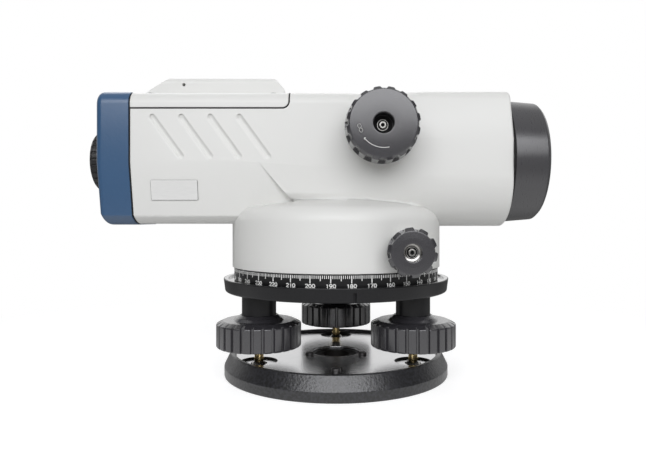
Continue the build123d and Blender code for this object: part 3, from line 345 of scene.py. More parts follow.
foot_hole = [(7.0, 0, 0), (cut_top, 0, 0), (cut_top, foot_hole_radius, 0), (7.0, foot_hole_radius, 0)]
carve(spring_plate, "DIFFERENCE", [
    turned(outline, "UP", on_ring(foot_ring, angle), 48)
    for angle in feet.values() for outline in (dimple, foot_hole)])
wear(spring_plate, spring_steel, "spring_steel", "base", "spring_plate")
# Near black for the dimple walls: painted shade.
dimple_painted_shade, place = finish("dimple_painted_shade")
shade_mottle = place.grain(700, 3.0)
coat(place, {
    "Base Color": shade_mottle.tint(ink(10, 10, 10), ink(34, 32, 30)),
    "Roughness": 0.3 + shade_mottle * 0.2,
})
level_face = 0.9


def dimple_wall(face):
    """Whether a face of the spring plate is on the wall of a dimple or a foot's hole."""
    from_foot = min((face.center.xy - on_ring(foot_ring, angle).xy * MM).length for angle in feet.values())
    return from_foot < dimple_radius * MM and abs(face.normal.z) < level_face


def touch_up(made, material, chosen):
    """Gives the faces of a piece that a test picks a second material."""
    made.data.materials.append(material)
    for face in made.data.polygons:
        if chosen(face):
            face.material_index = 1


# The walls of each dimple and foot hole are painted dark as shade.
touch_up(spring_plate, dimple_painted_shade, dimple_wall)


# Spring plate screws: six small slotted pan-head screws, three by the hole and three by the rim.
# Turned steel with a dull black oxide, driven down onto the plate.
oxide_steel, place = finish("oxide_steel")
scuff = place.grain(1500, 3.0)
coat(place, {
    "Base Color": scuff.tint(ink(52, 51, 52), ink(112, 110, 110)),
    "Metallic": 0.9,
    "Roughness": 0.3 + scuff * 0.2,
})


def node_tree(name, sockets):
    """A geometry node tree with a geometry output and named inputs, and a wire from each input."""
    tree = bpy.data.node_groups.new(name, "GeometryNodeTree")
    tree.interface.new_socket("Geometry", in_out="INPUT", socket_type="NodeSocketGeometry")
    for label, kind in sockets.items():
        tree.interface.new_socket(label, in_out="INPUT", socket_type=kind)
    tree.interface.new_socket("Geometry", in_out="OUTPUT", socket_type="NodeSocketGeometry")
    given = tree.nodes.new("NodeGroupInput")
    return tree, {socket.name: Wire(tree, socket) for socket in given.outputs}


def grown(made, tree, values):
    """Runs a geometry node tree on an object with its named inputs set, and keeps the plain mesh."""
    modifier = made.modifiers.new("grown", "NODES")
    modifier.node_group = tree
    for item in tree.interface.items_tree:
        if item.in_out == "INPUT" and item.name in values:
            modifier[item.identifier] = values[item.name]
    return settle(made)


def tree_end(shape, material):
    """Ends a geometry node tree: a plain mesh of the shape, in a finish."""
    solid = shape.node("GeometryNodeRealizeInstances", {}, {"Geometry": shape})
    solid = solid.node("GeometryNodeSetMaterial", {}, {"Geometry": solid, "Material": material})
    solid.node("NodeGroupOutput", {}, {"Geometry": solid})


scattered, given = node_tree("screws_at_points", {
    "Screw": "NodeSocketObject", "Finish": "NodeSocketMaterial"})
screw_shape = given["Screw"].node("GeometryNodeObjectInfo", {}, {"Object": given["Screw"]}, "Geometry")
placed = screw_shape.node("GeometryNodeInstanceOnPoints", {}, {
    "Points": given["Geometry"], "Instance": screw_shape})
tree_end(placed, given["Finish"])


def block(name, centre, size, turn=0):
    """A box from its middle and its sizes in mm, then turned by degrees about the vertical axis."""
    shape = bmesh.new()
    spin = Matrix.Rotation(math.radians(turn), 4, "Z")
    middle = Matrix.Translation([measure * MM for measure in centre])
    scale = Matrix.Diagonal([measure * MM for measure in size] + [1])
    bmesh.ops.create_cube(shape, size=1, matrix=spin @ middle @ scale)
    return meshed(shape, name)


def slotted_screws(name, places, top, radius, rise, material):
    """Like pan-head screws that stand on a height, each with a driver slot."""
    shank_end = -3.0
    shank_radius = 1.2
    slot_width = 0.55
    screw = piece("screw", turned([
        (shank_end, 0, 0), (rise, 0, 0), (rise, radius, 0.45 * rise), (0, radius, 0.1),
        (0, shank_radius, 0), (shank_end, shank_radius, 0.3),
    ], "UP", (0, 0, 0), 32))
    carve(screw, "DIFFERENCE", [block("driver_slot", (0, 0, rise), (4 * radius, slot_width, 1.1 * rise))])
    points = bpy.data.meshes.new("screw_places")
    points.from_pydata([(x * MM, y * MM, top * MM) for x, y, _ in places], [], [])
    made = bpy.data.objects.new(name, points)
    bpy.context.scene.collection.objects.link(made)
    grown(made, scattered, {"Screw": screw, "Finish": material})
    bpy.data.objects.remove(screw)
    return made


hole_screw_ring = 15.0
rim_screw_ring = 38.5
spring_screw_places = [on_ring(hole_screw_ring, angle) for angle in feet.values()] + [
    on_ring(rim_screw_ring, angle + 180) for angle in feet.values()]
spring_screws = slotted_screws("spring_screws", spring_screw_places, spring_top, 2.1, 1.2, oxide_steel)
wear(spring_screws, oxide_steel, "steel", "base", "spring_plate_screws")


# Foot screws: three levelling screws, each a ball foot, a brass spindle and a ribbed knob.
# The spindle is turned brass. The knob is moulded dark plastic with flat ribs between narrow
# grooves, and carries a stepped dust sleeve that slides over the boss of the upper plate.
brass, place = finish("turned_brass")
lathe_line = place.stretched(0.3, 0.3, 1).grain(3800, 2.0)
tarnish = place.grain(160, 3.0)
coat(place, {
    "Base Color": tarnish.tint(ink(204, 174, 112), ink(240, 220, 168)),
    "Metallic": 1.0,
    "Roughness": 0.16 + tarnish * 0.14,
    "Normal": lathe_line.bump(0.00002, 0.5),
})
knob_plastic, place = finish("knob_plastic")
spark = place.grain(2600, 2.0)
cloud = place.grain(90, 2.0)
coat(place, {
    "Base Color": cloud.tint(ink(46, 45, 48), ink(55, 54, 58)),
    "Roughness": 0.17 + spark * 0.12,
    "Specular IOR Level": 1.0,
    "Coat Weight": 0.5,
    "Coat Roughness": 0.2,
    "Normal": spark.bump(0.00004, 0.45),
})
steel, place = finish("bright_steel")
rub = place.grain(900, 3.0)
coat(place, {
    "Base Color": rub.tint(ink(150, 148, 145), ink(205, 203, 199)),
    "Metallic": 1.0,
    "Roughness": 0.18 + rub * 0.2,
})
dress(steel, "foot_ball_left", "foot_ball_right", "foot_ball_rear")

grooved, given = node_tree("grooves_round_rim", {
    **dict.fromkeys(("Count", "Floor", "Share", "Wall", "Low", "High"), "NodeSocketFloat"),
    "Finish": "NodeSocketMaterial"})
spot = given["Count"].node("GeometryNodeInputPosition", {}, {})
x, y, z = spot.split()
out = x.math("SQRT", x * x + y * y)
turns = x.math("ARCTAN2", y, x) * given["Count"] * (1 / math.tau)
from_groove = x.math("ABSOLUTE", x.math("FRACT", turns) - 0.5) * 2
groove = 1 - from_groove.between(given["Share"], given["Share"] + given["Wall"])
inside = z.math("GREATER_THAN", z, given["Low"]) * z.math("LESS_THAN", z, given["High"])
depth = x.math("MAXIMUM", out - given["Floor"])
kept = 1 - x.math("DIVIDE", groove * inside * depth, out)
sunk = spot.node("ShaderNodeCombineXYZ", {}, {"X": x * kept, "Y": y * kept, "Z": z})
moved = spot.node("GeometryNodeSetPosition", {}, {"Geometry": given["Geometry"], "Position": sunk})
merged = moved.node("GeometryNodeMergeByDistance", {}, {"Geometry": moved, "Distance": 1e-6})
tree_end(merged, given["Finish"])


def grooved_piece(name, outline, axis, centre, count, grooves, material, per_groove=16, first=0):
    """A turned piece with like grooves along its rim, sized in mm and in shares of their pitch."""
    rib_angle = math.radians(38)
    made = piece(name, turned(outline, "UP", (0, 0, 0), count * per_groove))
    sizes = {label: grooves[label] * MM for label in ("Floor", "Low", "High")}
    grown(made, grooved, {**grooves, **sizes, "Count": float(count), "Finish": material})
    turn = UP.rotation_difference(ALONG[axis]).to_matrix().to_4x4()
    twist = Matrix.Rotation(math.radians(first), 4, "Z")
    made.data.transform(Matrix.Translation(Vector(centre) * MM) @ turn @ twist)
    made.data.set_sharp_from_angle(angle=rib_angle)
    return made


spindle_foot = 6.3
spindle_top = 40
spindle_radius = 4.5
pin_radius = 1.95
neck_z = 10.35
neck_radius = 2.1
knob_z = 16.7
knob_top = 28.9
knob_radius = 19.65
knob_bore = 4.52
sleeve_top = knob_top + 2.4
sleeve_bore = 8.1
sleeve_floor = 26.1
rib_count = 26
knob_twist = {"left": -1.7, "right": -1.2, "rear": 1.0}
for side, angle in feet.items():
    foot = on_ring(foot_ring, angle)
    spindle = piece(f"foot_spindle_{side}_turned", turned([
        (spindle_foot, 0, 0), (spindle_top, 0, 0), (spindle_top, spindle_radius, 0.4),
        (knob_z, spindle_radius, 0), (knob_z, 2.6, 0.1), (neck_z + 5.4, 2.6, 0.1),
        (neck_z + 5.2, neck_radius, 0.1), (neck_z + 1.0, neck_radius, 0.1), (neck_z + 0.8, 2.3, 0.1),
        (neck_z, 2.3, 0.2), (neck_z, pin_radius, 0), (spindle_foot, pin_radius, 0.3),
    ], "UP", foot, 48))
    wear(spindle, brass, "brass", f"{side}_screw", f"foot_spindle_{side}")
    knob = grooved_piece(f"foot_knob_{side}_ribbed", [
        (knob_z, knob_bore, 0), (knob_z, knob_radius, 0.8), (knob_top - 1.5, knob_radius, 0.7),
        (knob_top, 16.5, 0.8), (knob_top, 11.7, 0.2), (knob_top + 1.2, 10.55, 0.2),
        (knob_top + 1.2, 10.15, 0.1), (sleeve_top, 8.7, 0.3), (sleeve_top, sleeve_bore, 0.1),
        (sleeve_floor, sleeve_bore, 0), (sleeve_floor, knob_bore, 0),
    ], "UP", foot, rib_count, {
        "Floor": 18.55, "Share": 0.18, "Wall": 0.18, "Low": knob_z - 1, "High": knob_top + 0.1,
    }, knob_plastic, 24, knob_twist[side])
    wear(knob, knob_plastic, "knob_plastic", f"{side}_screw", f"foot_knob_{side}")


# Upper plate: the plate that the foot screws lift, with a boss over each screw and an index groove.
# One casting in a finer black paint than the base's, with a blind bore up each boss, and dished
# on top for the circle, where the dish is left a glossy black.
plate_z = 40.9
plate_top = 47.2
plate_radius = 55.45
plate_foot_radius = 54.65
plate_bore = 13.02
dish_floor = 46.2
dish_radius = 52.75
seat_top = 50.2
seat_radius = 40.0
seat_inner = 36.0
boss_z = 29.8
boss_radius = 7.95
boss_root_radius = 8.6
boss_root = plate_z + 1.0
bore_radius = 6.52
bore_top = 42.5
upper_plate = piece("upper_plate_casting", turned([
    (plate_z, plate_bore, 0), (plate_z, plate_foot_radius, 0.9), (plate_top, plate_radius, 0.35),
    (plate_top, dish_radius + 0.5, 0.4), (dish_floor, dish_radius, 0.2), (dish_floor, seat_radius, 0.2),
    (seat_top, seat_radius, 0.3), (seat_top, seat_inner, 0.3), (dish_floor, seat_inner, 0.2),
    (dish_floor, plate_bore, 0),
], "UP", (0, 0, 0), 160))
carve(upper_plate, "UNION", [turned([
    (boss_z, bore_radius, 0.2), (boss_z, boss_radius, 0.3), (plate_z - 1.3, boss_radius, 0.3),
    (plate_z - 0.9, boss_root_radius, 0.3), (boss_root, boss_root_radius, 0), (boss_root, bore_radius, 0),
], "UP", on_ring(foot_ring, angle), 64) for angle in feet.values()])
carve(upper_plate, "DIFFERENCE", [turned([
    (boss_z - 1, 0, 0), (bore_top, 0, 0), (bore_top, bore_radius, 0), (boss_z - 1, bore_radius, 0),
], "UP", on_ring(foot_ring, angle), 64) for angle in feet.values()])
index_angle = -81.9
index_middle = (plate_foot_radius, 0, plate_z + 2.2)
carve(upper_plate, "DIFFERENCE", [block("index_groove", index_middle, (1.6, 1.4, 4.4), index_angle)])
plate_paint, place = finish("plate_paint")
wrinkle = place.grain(1500, 3.0, 0.6)
coat(place, {
    "Base Color": wrinkle.tint(ink(10, 10, 12), ink(24, 24, 27)),
    "Roughness": 0.4 - wrinkle * 0.16,
    "Specular IOR Level": 0.4,
    "Normal": wrinkle.bump(0.00006, 0.75),
})
wear(upper_plate, plate_paint, "crinkle_paint", "tribrach", "upper_plate")
dish_black, place = finish("dish_black")
ripple = place.grain(400, 2.0)
coat(place, {
    "Base Color": ripple.tint(ink(12, 12, 13), ink(20, 20, 22)),
    "Roughness": 0.14 + ripple * 0.1,
    "Coat Weight": 0.7,
    "Coat Roughness": 0.08,
})


def in_dish(face):
    """Whether a face of the upper plate is in its dish or on the dish's rim."""
    out = face.center.xy.length / MM
    return face.center.z > (dish_floor - 0.1) * MM and seat_radius + 0.5 < out < plate_radius - 0.55


touch_up(upper_plate, dish_black, in_dish)
dress(brass, "foot_bushes")


# Horizontal circle: the graduated ring that turns by hand on the upper plate.
# Black anodised alloy, with 360 filled white ticks and figures every ten degrees on its rim.
circle_black, place = finish("circle_black")
sheen = place.stretched(1, 1, 0.2).grain(700, 2.0)
coat(place, {
    "Base Color": sheen.tint(ink(14, 14, 15), ink(24, 24, 26)),
    "Roughness": 0.24 + sheen * 0.12,
    "Normal": place.stretched(0.05, 0.05, 1).grain(4000).bump(0.00002, 0.5),
})
circle_z = 46.5
circle_web = 48.5
circle_top = 52.3
circle_radius = 50.35
circle_inner = 47.35
circle_bore = 40.05
circle = piece("horizontal_circle_ring", turned([
    (circle_z, circle_bore, 0), (circle_z, circle_radius, 0.3), (circle_top, circle_radius, 0.25),
    (circle_top, circle_inner, 0.3), (circle_web, circle_inner, 0.3), (circle_web, circle_bore, 0),
], "UP", (0, 0, 0), 180))
wear(circle, circle_black, "circle_black", "circle", "horizontal_circle")

white_fill, place = finish("white_fill")
chalk = place.grain(2500, 2.0)
coat(place, {
    "Base Color": chalk.tint(ink(236, 236, 233), ink(250, 250, 248)),
    "Roughness": 0.6,
})
line_proud = 0.03
line_sunk = 0.1
tick_width = 0.3
tick_piece = piece("tick", block(
    "tick", (0, -(circle_radius - line_sunk), -0.5), (tick_width, 2 * (line_sunk + line_proud), 1.0)))
graduated, given = node_tree("graduations", {
    "Tick": "NodeSocketObject", "Count": "NodeSocketInt",
    **dict.fromkeys(("Top", "First", "Short", "Middle", "Long"), "NodeSocketFloat"),
    "Finish": "NodeSocketMaterial"})
tick_shape = given["Tick"].node("GeometryNodeObjectInfo", {}, {"Object": given["Tick"]}, "Geometry")
lift = tick_shape.node("ShaderNodeCombineXYZ", {}, {"Z": given["Top"]})
spots = tick_shape.node("GeometryNodePoints", {}, {"Count": given["Count"], "Position": lift})
number = spots.node("GeometryNodeInputIndex", {}, {})
around = number.math("DIVIDE", number * math.tau, given["Count"]) + given["First"]
turn = spots.node("ShaderNodeCombineXYZ", {}, {"Z": around})
fifth = number.math("LESS_THAN", number.math("MODULO", number, 5), 0.5)
tenth = number.math("LESS_THAN", number.math("MODULO", number, 10), 0.5)
fifth_more = fifth * (given["Middle"] - given["Short"])
tenth_more = tenth * (given["Long"] - given["Middle"])
length = given["Short"] + fifth_more + tenth_more
width = fifth * 0.25 + tenth * 0.2 + 1
stretch = length.node("ShaderNodeCombineXYZ", {}, {"X": width, "Y": 1.0, "Z": length})
ticks = spots.node("GeometryNodeInstanceOnPoints", {}, {
    "Points": spots, "Instance": tick_shape, "Rotation": turn, "Scale": stretch})
tree_end(ticks, given["Finish"])
first_tick = -2.5
graduations = bpy.data.objects.new("circle_graduations", bpy.data.meshes.new("graduations"))
bpy.context.scene.collection.objects.link(graduations)
grown(graduations, graduated, {
    "Tick": tick_piece, "Count": 360, "Top": (circle_top - 0.25) * MM, "First": math.radians(first_tick),
    "Short": 1.35, "Middle": 2.3, "Long": 3.2, "Finish": white_fill})
bpy.data.objects.remove(tick_piece)
wear(graduations, white_fill, "circle_black", "circle")


def ribbon(shape, points, width, on_surface):
    """A thin painted line through points (u, v) in mm on a surface, closed where it ends at its start."""
    points = [Vector(point) for point in points]
    closed = (points[0] - points[-1]).length < 1e-6
    if closed:
        points = points[:-1]
    count = len(points)
    rows = []
    for index, point in enumerate(points):
        ahead = points[(index + 1) % count] if closed or index < count - 1 else point
        behind = points[index - 1] if closed or index > 0 else point
        way = (ahead - behind).normalized()
        side = Vector((-way.y, way.x)) * width / 2
        corners = ((side, line_proud), (-side, line_proud), (-side, -line_sunk), (side, -line_sunk))
        rows.append([shape.verts.new(on_surface(point + offset, lift) * MM) for offset, lift in corners])
    for index in range(count if closed else count - 1):
        here = rows[index]
        there = rows[(index + 1) % count]
        for corner in range(4):
            shape.faces.new((here[corner - 1], here[corner], there[corner], there[corner - 1]))
    if not closed:
        shape.faces.new(rows[0])
        shape.faces.new(rows[-1])


def bow(u, v, half_u, half_v, first, last, pace=24):
    """Points along part of an oval, from one angle to another, about a pace of degrees apart."""
    count = max(3, abs(last - first) // pace)
    angles = [math.radians(first + (last - first) * step / count) for step in range(count + 1)]
    return [(u + half_u * math.cos(angle), v + half_v * math.sin(angle)) for angle in angles]


digit_strokes = {
    "0": [bow(0.5, 1.0, 0.5, 1.0, 0, 360)],
    "1": [[(0.2, 1.6), (0.6, 2.0), (0.6, 0.0)]],
    "2": [bow(0.5, 1.45, 0.5, 0.55, 170, -40) + [(0.0, 0.0), (1.0, 0.0)]],
    "3": [bow(0.45, 1.5, 0.5, 0.5, 150, -90), bow(0.45, 0.52, 0.55, 0.52, 90, -150)],
    "4": [[(0.75, 0.0), (0.75, 2.0), (0.0, 0.6), (1.0, 0.6)]],
    "5": [[(0.95, 2.0), (0.15, 2.0), (0.08, 1.1)] + bow(0.45, 0.62, 0.55, 0.62, 120, -150)],
    "6": [bow(0.5, 0.6, 0.5, 0.6, 0, 360), bow(1.0, 0.75, 1.0, 1.25, 175, 105)],
    "7": [[(0.0, 2.0), (1.0, 2.0), (0.35, 0.0)]],
    "8": [bow(0.5, 1.5, 0.42, 0.5, 0, 360), bow(0.5, 0.5, 0.5, 0.5, 0, 360)],
    "9": [bow(0.5, 1.4, 0.5, 0.6, 0, 360), bow(0.0, 1.25, 1.0, 1.25, 5, -75)],
}
digit_pitch = 1.5
digit_gap = 0.2
digit_width = 1.1
digit_rise = 0.72
digit_line = 0.36
digit_foot = 46.95
first_figure = 190
figure_step = 10


def on_rim(middle):
    """Where a figure's points lie on the circle's rim, with the figure's middle at an angle."""
    def surface(point, lift):
        angle = middle + math.degrees(point.x / circle_radius)
        return on_ring(circle_radius + lift, angle, digit_foot + point.y)
    return surface


figures = bmesh.new()
for step in range(360 // figure_step):
    written = str((first_figure - figure_step * step) % 360)
    rim_surface = on_rim(first_tick + figure_step * step - 90)
    for index, digit in enumerate(written):
        start = (index - len(written) / 2) * digit_pitch + digit_gap
        for stroke in digit_strokes[digit]:
            points = [(start + digit_width * u, digit_rise * v) for u, v in stroke]
            ribbon(figures, points, digit_line, rim_surface)
bmesh.ops.recalc_face_normals(figures, faces=figures.faces)
circle_figures = piece("circle_figures", meshed(figures, "figures"))
wear(circle_figures, white_fill, "circle_black", "circle")


# Vertical axis: the steel spindle under the housing, the brass sleeve it turns in, the fine drive's
# worm wheel and the nuts. All are turned pieces inside the drum, so they keep their CAD shape.
dress(brass, "axis_sleeve", "clutch_nut", "worm_wheel")
dress(steel, "axis_spindle", "axis_nut")


# Main housing: the drum and the telescope body in one hollow casting.
# Light alloy in pale grey satin paint, with four soft diagonal grooves on each side, a boss
# for the focusing knob and another for the fine drive.
optic_z = 104.35
groove_way = Vector((13.4, -18.4)).normalized()
groove_pitch = 13.2
last_groove = 3.0
first_groove = (-77.0, optic_z + 8.95)
groove_fall = (-2.6, -0.2)
groove_rise = (-0.2, 1.7)
groove_end = (10.4, 12.4)
flank = (0.0262, 0.027)
grey_paint, place = finish("grey_paint")
peel = place.grain(700, 2.0, 0.4)
tone = place.grain(14, 2.0)
x, y, z = place.split()
from_first = x * 1000 - first_groove[0]
above_first = z * 1000 - first_groove[1]
across = above_first * groove_way.x - from_first * groove_way.y
along = from_first * groove_way.x + above_first * groove_way.y
number = x.math("ROUND", across * (-1 / (groove_pitch * groove_way.y)))
number = x.math("MAXIMUM", x.math("MINIMUM", number, last_groove), 0.0)
across = across + number * (groove_pitch * groove_way.y)
along = x.math("ABSOLUTE", along - number * (groove_pitch * groove_way.x))
side = x.math("ABSOLUTE", y).between(*flank)
dip = across.between(*groove_fall) - across.between(*groove_rise)
hollow = dip * (1 - along.between(*groove_end)) * side
coat(place, {
    "Base Color": tone.tint(ink(216, 216, 213), ink(224, 224, 221)),
    "Roughness": 0.36 + peel * 0.12,
    "Normal": (peel * 0.014 - hollow * 0.42).bump(0.001),
})


def softened(name, node, width, chosen=None):
    """A copy of a CAD piece with its sharp edges rounded off, or those of them that a test picks in mm."""
    same_place = 2e-6
    flat = math.radians(0.6)
    sharp = math.radians(30)
    shape = bmesh.new()
    shape.from_mesh(cad[node].data)
    bmesh.ops.remove_doubles(shape, verts=shape.verts, dist=same_place)
    bmesh.ops.dissolve_limit(shape, angle_limit=flat, verts=shape.verts, edges=shape.edges, delimit=set())
    rounding = shape.edges.layers.float.new("bevel_weight_edge")
    for edge in shape.edges:
        if len(edge.link_faces) == 2 and edge.calc_face_angle(0) > sharp:
            middle = (edge.verts[0].co + edge.verts[1].co) / 2 / MM
            edge[rounding] = float(chosen is None or edge.is_convex and chosen(middle))
    made = piece(name, meshed(shape, name))
    rounded = made.modifiers.new("rounded", "BEVEL")
    rounded.width = width * MM
    rounded.segments = 3
    rounded.limit_method = "WEIGHT"
    rounded.use_clamp_overlap = False
    settle(made)
    made.data.set_sharp_from_angle(angle=math.radians(40))
    even = made.modifiers.new("even", "WEIGHTED_NORMAL")
    even.keep_sharp = True
    return settle(made)


rear_x = -93.8
rear_opening = 20
tube_front = 81.4
front_opening = 29
drum_z = 52.6
drum_opening = 50.9


def housing_edge(spot):
    """Whether an edge of the housing is on an end's rim or the drum's foot."""
    close = 0.05
    out = math.hypot(spot.y, spot.z - optic_z)
    rear = spot.x < rear_x + close and out > rear_opening
    front = spot.x > tube_front - close and out > front_opening
    foot = spot.z < drum_z + close and spot.xy.length > drum_opening
    return rear or front or foot


housing = softened("main_housing_casting", "main_housing", 0.3, housing_edge)
wear(housing, grey_paint, "grey_paint", "alidade", "main_housing")


# Top cover: the lid over the compensator, with the sight along its top, its seal and its screws.
# A casting in the same grey paint on a black rubber seal, held by four sunk screws.
seal_rubber, place = finish("seal_rubber")
bloom = place.grain(500, 2.0)
coat(place, {
    "Base Color": bloom.tint(ink(16, 16, 17), ink(28, 28, 29)),
    "Roughness": 0.65 + bloom * 0.2,
})
lid_screw_x = (-86.0, -29.0)
lid_screw_y = 21.3
lid_screw_hole = 2.9
lid_screw_seat = 132.7
sight_hole = Vector((-73.6, 140.7))
sight_hole_radius = 1.0


def lid_edge(spot):
    """Whether an edge of the lid is clear of its rear end and of the holes for its screws and its sight."""
    from_screw = min(math.hypot(spot.x - x, abs(spot.y) - lid_screw_y) for x in lid_screw_x)
    from_sight = (spot.xz - sight_hole).length
    return spot.x > rear_x + 0.5 and from_screw > lid_screw_hole and from_sight > sight_hole_radius


top_cover = softened("top_cover_casting", "top_cover", 0.35, lid_edge)
wear(top_cover, grey_paint, "grey_paint", "alidade", "top_cover")
dress(seal_rubber, "cover_gasket")
lid_screw_places = [(x, side * lid_screw_y, 0) for x in lid_screw_x for side in (-1, 1)]
lid_screws = slotted_screws("lid_screws", lid_screw_places, lid_screw_seat, 2.5, 1.48, oxide_steel)
wear(lid_screws, oxide_steel, "steel", "alidade", "cover_screws")


# Rear cover: the blue end cap round the eyepiece.
# Moulded with rounded edges and painted blue, pushed against a black seal on the housing's rear.
blue_paint, place = finish("blue_paint")
peel = place.grain(800, 2.0, 0.4)
tone = place.grain(30, 2.0)
coat(place, {
    "Base Color": tone.tint(ink(41, 78, 115), ink(47, 86, 124)),
    "Specular IOR Level": 0.9,
    "Roughness": 0.28 + peel * 0.12,
    "Normal": peel.bump(0.00006, 0.4),
})
rear_cover = softened("rear_cover_moulding", "rear_cover", 0.3)
wear(rear_cover, blue_paint, "blue_paint", "alidade", "rear_cover")
dress(seal_rubber, "rear_gasket")


# Label plate: a thin bare plate stuck on the lower side of the housing.
# Satin foil with nothing on it, and a darker rim where its softly rounded edges are rubbed.
label_foil, place = finish("label_foil")
brushed = place.stretched(1, 1, 20).grain(260, 3.0)
coat(place, {
    "Base Color": brushed.tint(ink(214, 214, 212), ink(230, 230, 228)),
    "Roughness": 0.3 + brushed * 0.1,
})
label = softened("label_plate_bare", "label_plate", 0.15)
wear(label, label_foil, "label_foil", "alidade", "label_plate")
label_rim, place = finish("label_rim")
rub = place.grain(1200, 2.0)
coat(place, {
    "Base Color": rub.tint(ink(120, 120, 120), ink(150, 150, 149)),
    "Roughness": 0.5,
})
flat_face = 0.97
touch_up(label, label_rim, lambda face: abs(face.normal.y) < flat_face)


# Objective: the dark shade ring at the front, the cell inside it and the cemented lenses.
# The hood is turned alloy with a dark satin anodise and a gap at its root painted black as shade,
# screwed over the cell, and its lip keeps the coated lenses in.
dark_anodised, place = finish("dark_anodised")
fine_line = place.stretched(1, 0.06, 0.06).grain(5200, 2.0)
tone = place.grain(60, 2.0)
coat(place, {
    "Base Color": tone.tint(ink(52, 52, 54), ink(60, 59, 62)),
    "Specular IOR Level": 1.0,
    "Roughness": 0.24 + fine_line * 0.1,
    "Normal": fine_line.bump(0.00001, 0.5),
})
# Black for the blackened inner parts. It is also painted shade where it darkens the hood's root gap and the
# knobs' screw recesses.
black_inside, place = finish("black_inside")
black_mottle = place.grain(900, 2.0)
coat(place, {
    "Base Color": black_mottle.tint(ink(9, 9, 10), ink(18, 18, 19)),
    "Roughness": 0.8,
})
coated_glass, place = finish("coated_glass")
film = place.grain(9, 1.0)
coat(place, {
    "Base Color": film.tint(ink(228, 240, 232), ink(232, 234, 244)),
    "Roughness": 0.02,
    "IOR": 1.52,
    "Transmission Weight": 1.0,
    "Thin Film Thickness": 420.0,
    "Thin Film IOR": 1.38,
})
optic = (0, 0, optic_z)
hood_front = 98.39
hood_bore = 25.52
gap_radius = 29.5
gap_front = 81.7
mouth_radius = 20.6
lip_radius = 18.4
lip_front = 89.6
lip_back = 87.82
cell_radius = 22.02
cell_back = 83.82
hood = piece("objective_hood_turned", turned([
    (tube_front, hood_bore, 0), (tube_front, gap_radius, 0.05), (gap_front, gap_radius, 0.05),
    (gap_front + 0.1, 30.05, 0.1), (96.8, 28.8, 1.0), (hood_front, 27.2, 0.9),
    (hood_front, mouth_radius, 0.5), (lip_front, mouth_radius, 0.3), (lip_front, lip_radius, 0.4),
    (lip_back, lip_radius, 0), (lip_back, cell_radius, 0), (cell_back, cell_radius, 0),
    (cell_back, hood_bore, 0),
], "FORWARD", optic, 144))
wear(hood, dark_anodised, "dark_anodised", "alidade", "objective_hood")
# The faces at the hood's root gap are painted black as shade.
touch_up(hood, black_inside, lambda face: face.center.x < (gap_front + 0.04) * MM)
dress(black_inside, "objective_cell")
dress(coated_glass, "objective_lenses")


# Focusing drive: the large knob on the right side, its screw, and the shaft and lens cell behind it.
# The knob is moulded dark plastic with rounded notches round a tapered side, a plain back rim and
# a deep recess, and is marked with an infinity sign and an arc that shows which way to turn.
dress(steel, "focus_shaft")
dress(brass, "focus_bush")
dress(black_inside, "focus_guide", "focus_cell")
dress(coated_glass, "focus_lens")
focus_centre = (20.2, 0, 116.35)
focus_back = -34.7
focus_rim = focus_back - 2.0
focus_face = -47.7
focus_bore = 2.02
focus_floor = -40.1
focus_recess = 4.4
focus_notches = 16
focus_twist = -10.2
focus_knob = grooved_piece("focus_knob_notched", [
    (focus_back, focus_bore, 0), (focus_back, 15.4, 0.2), (focus_back - 1.0, 16.4, 0.4),
    (focus_rim + 0.1, 16.36, 0.1), (focus_rim - 0.1, 16.35, 0.1), (focus_face + 1.6, 15.85, 0.6),
    (focus_face + 0.3, 14.4, 0.5), (focus_face + 0.1, 11.0, 4), (focus_face, 7.0, 4),
    (focus_face, focus_recess, 0.4), (focus_floor, focus_recess, 0), (focus_floor, focus_bore, 0),
], "ACROSS", focus_centre, focus_notches, {
    "Floor": 15.15, "Share": 0.3, "Wall": 0.32, "Low": focus_face - 1, "High": focus_rim,
}, knob_plastic, 24, focus_twist)
wear(focus_knob, knob_plastic, "knob_plastic", "focus_drive", "focus_knob")

head_radius = 1.7
head_top = 1.6
socket_bottom = 0.3
hex_radius = 0.95
collar_bore = 2.1
collar_top = 0.7
washer_bore = 2.6
washer_top = 0.1


def socket_screws(name, recesses):
    """A collared socket screw and a washer in each knob's recess, as one piece.

    A recess is its floor, its way out, its radius, the dish of its washer and the knob's centre, in mm."""
    shank_radius = 1.5
    joined = bmesh.new()
    for floor, way, radius, dish, centre in recesses:
        rim = radius - 0.1
        shank_end = floor - way * 2.4
        top = floor + way * head_top
        low = floor + way * socket_bottom
        collar = floor + way * collar_top
        above = floor + way * 3
        screw = piece("screw", turned([
            (shank_end, 0, 0), (top, 0, 0), (top, head_radius, 0.35), (low, head_radius, 0),
            (low, collar_bore, 0), (collar, 2.15, 0.1), (collar, 2.55, 0.2),
            (floor + way * washer_top, washer_bore, 0), (floor + way * (washer_top + dish), rim, 0),
            (floor, rim, 0), (floor, shank_radius, 0), (shank_end, shank_radius, 0),
        ], "ACROSS", centre, 64))
        hexagon = [(low, 0, 0), (above, 0, 0), (above, hex_radius, 0), (low, hex_radius, 0)]
        carve(screw, "DIFFERENCE", [turned(hexagon, "ACROSS", centre, 6)])
        joined.from_mesh(screw.data)
        bpy.data.objects.remove(screw)
    return piece(name, meshed(joined, name))


def recess_painted_shade(centre, floor, dark_from):
    """A test for the faces painted black as shade: in a screw's socket, in the gap round its head, or
    further out than a radius.
    """
    def dark(face):
        out = math.hypot(face.center.x / MM - centre[0], face.center.z / MM - centre[2])
        sunk = abs(face.center.y) / MM - floor < head_top - 0.1
        in_gap = head_radius - 0.01 < out < collar_bore + 0.05
        return out > dark_from or sunk and (out < hex_radius + 0.05 or in_gap)
    return dark


focus_screw = socket_screws("focus_screw_turned", [(focus_floor, -1, focus_recess, 0, focus_centre)])
wear(focus_screw, steel, "steel", "focus_drive", "focus_knob_screw")
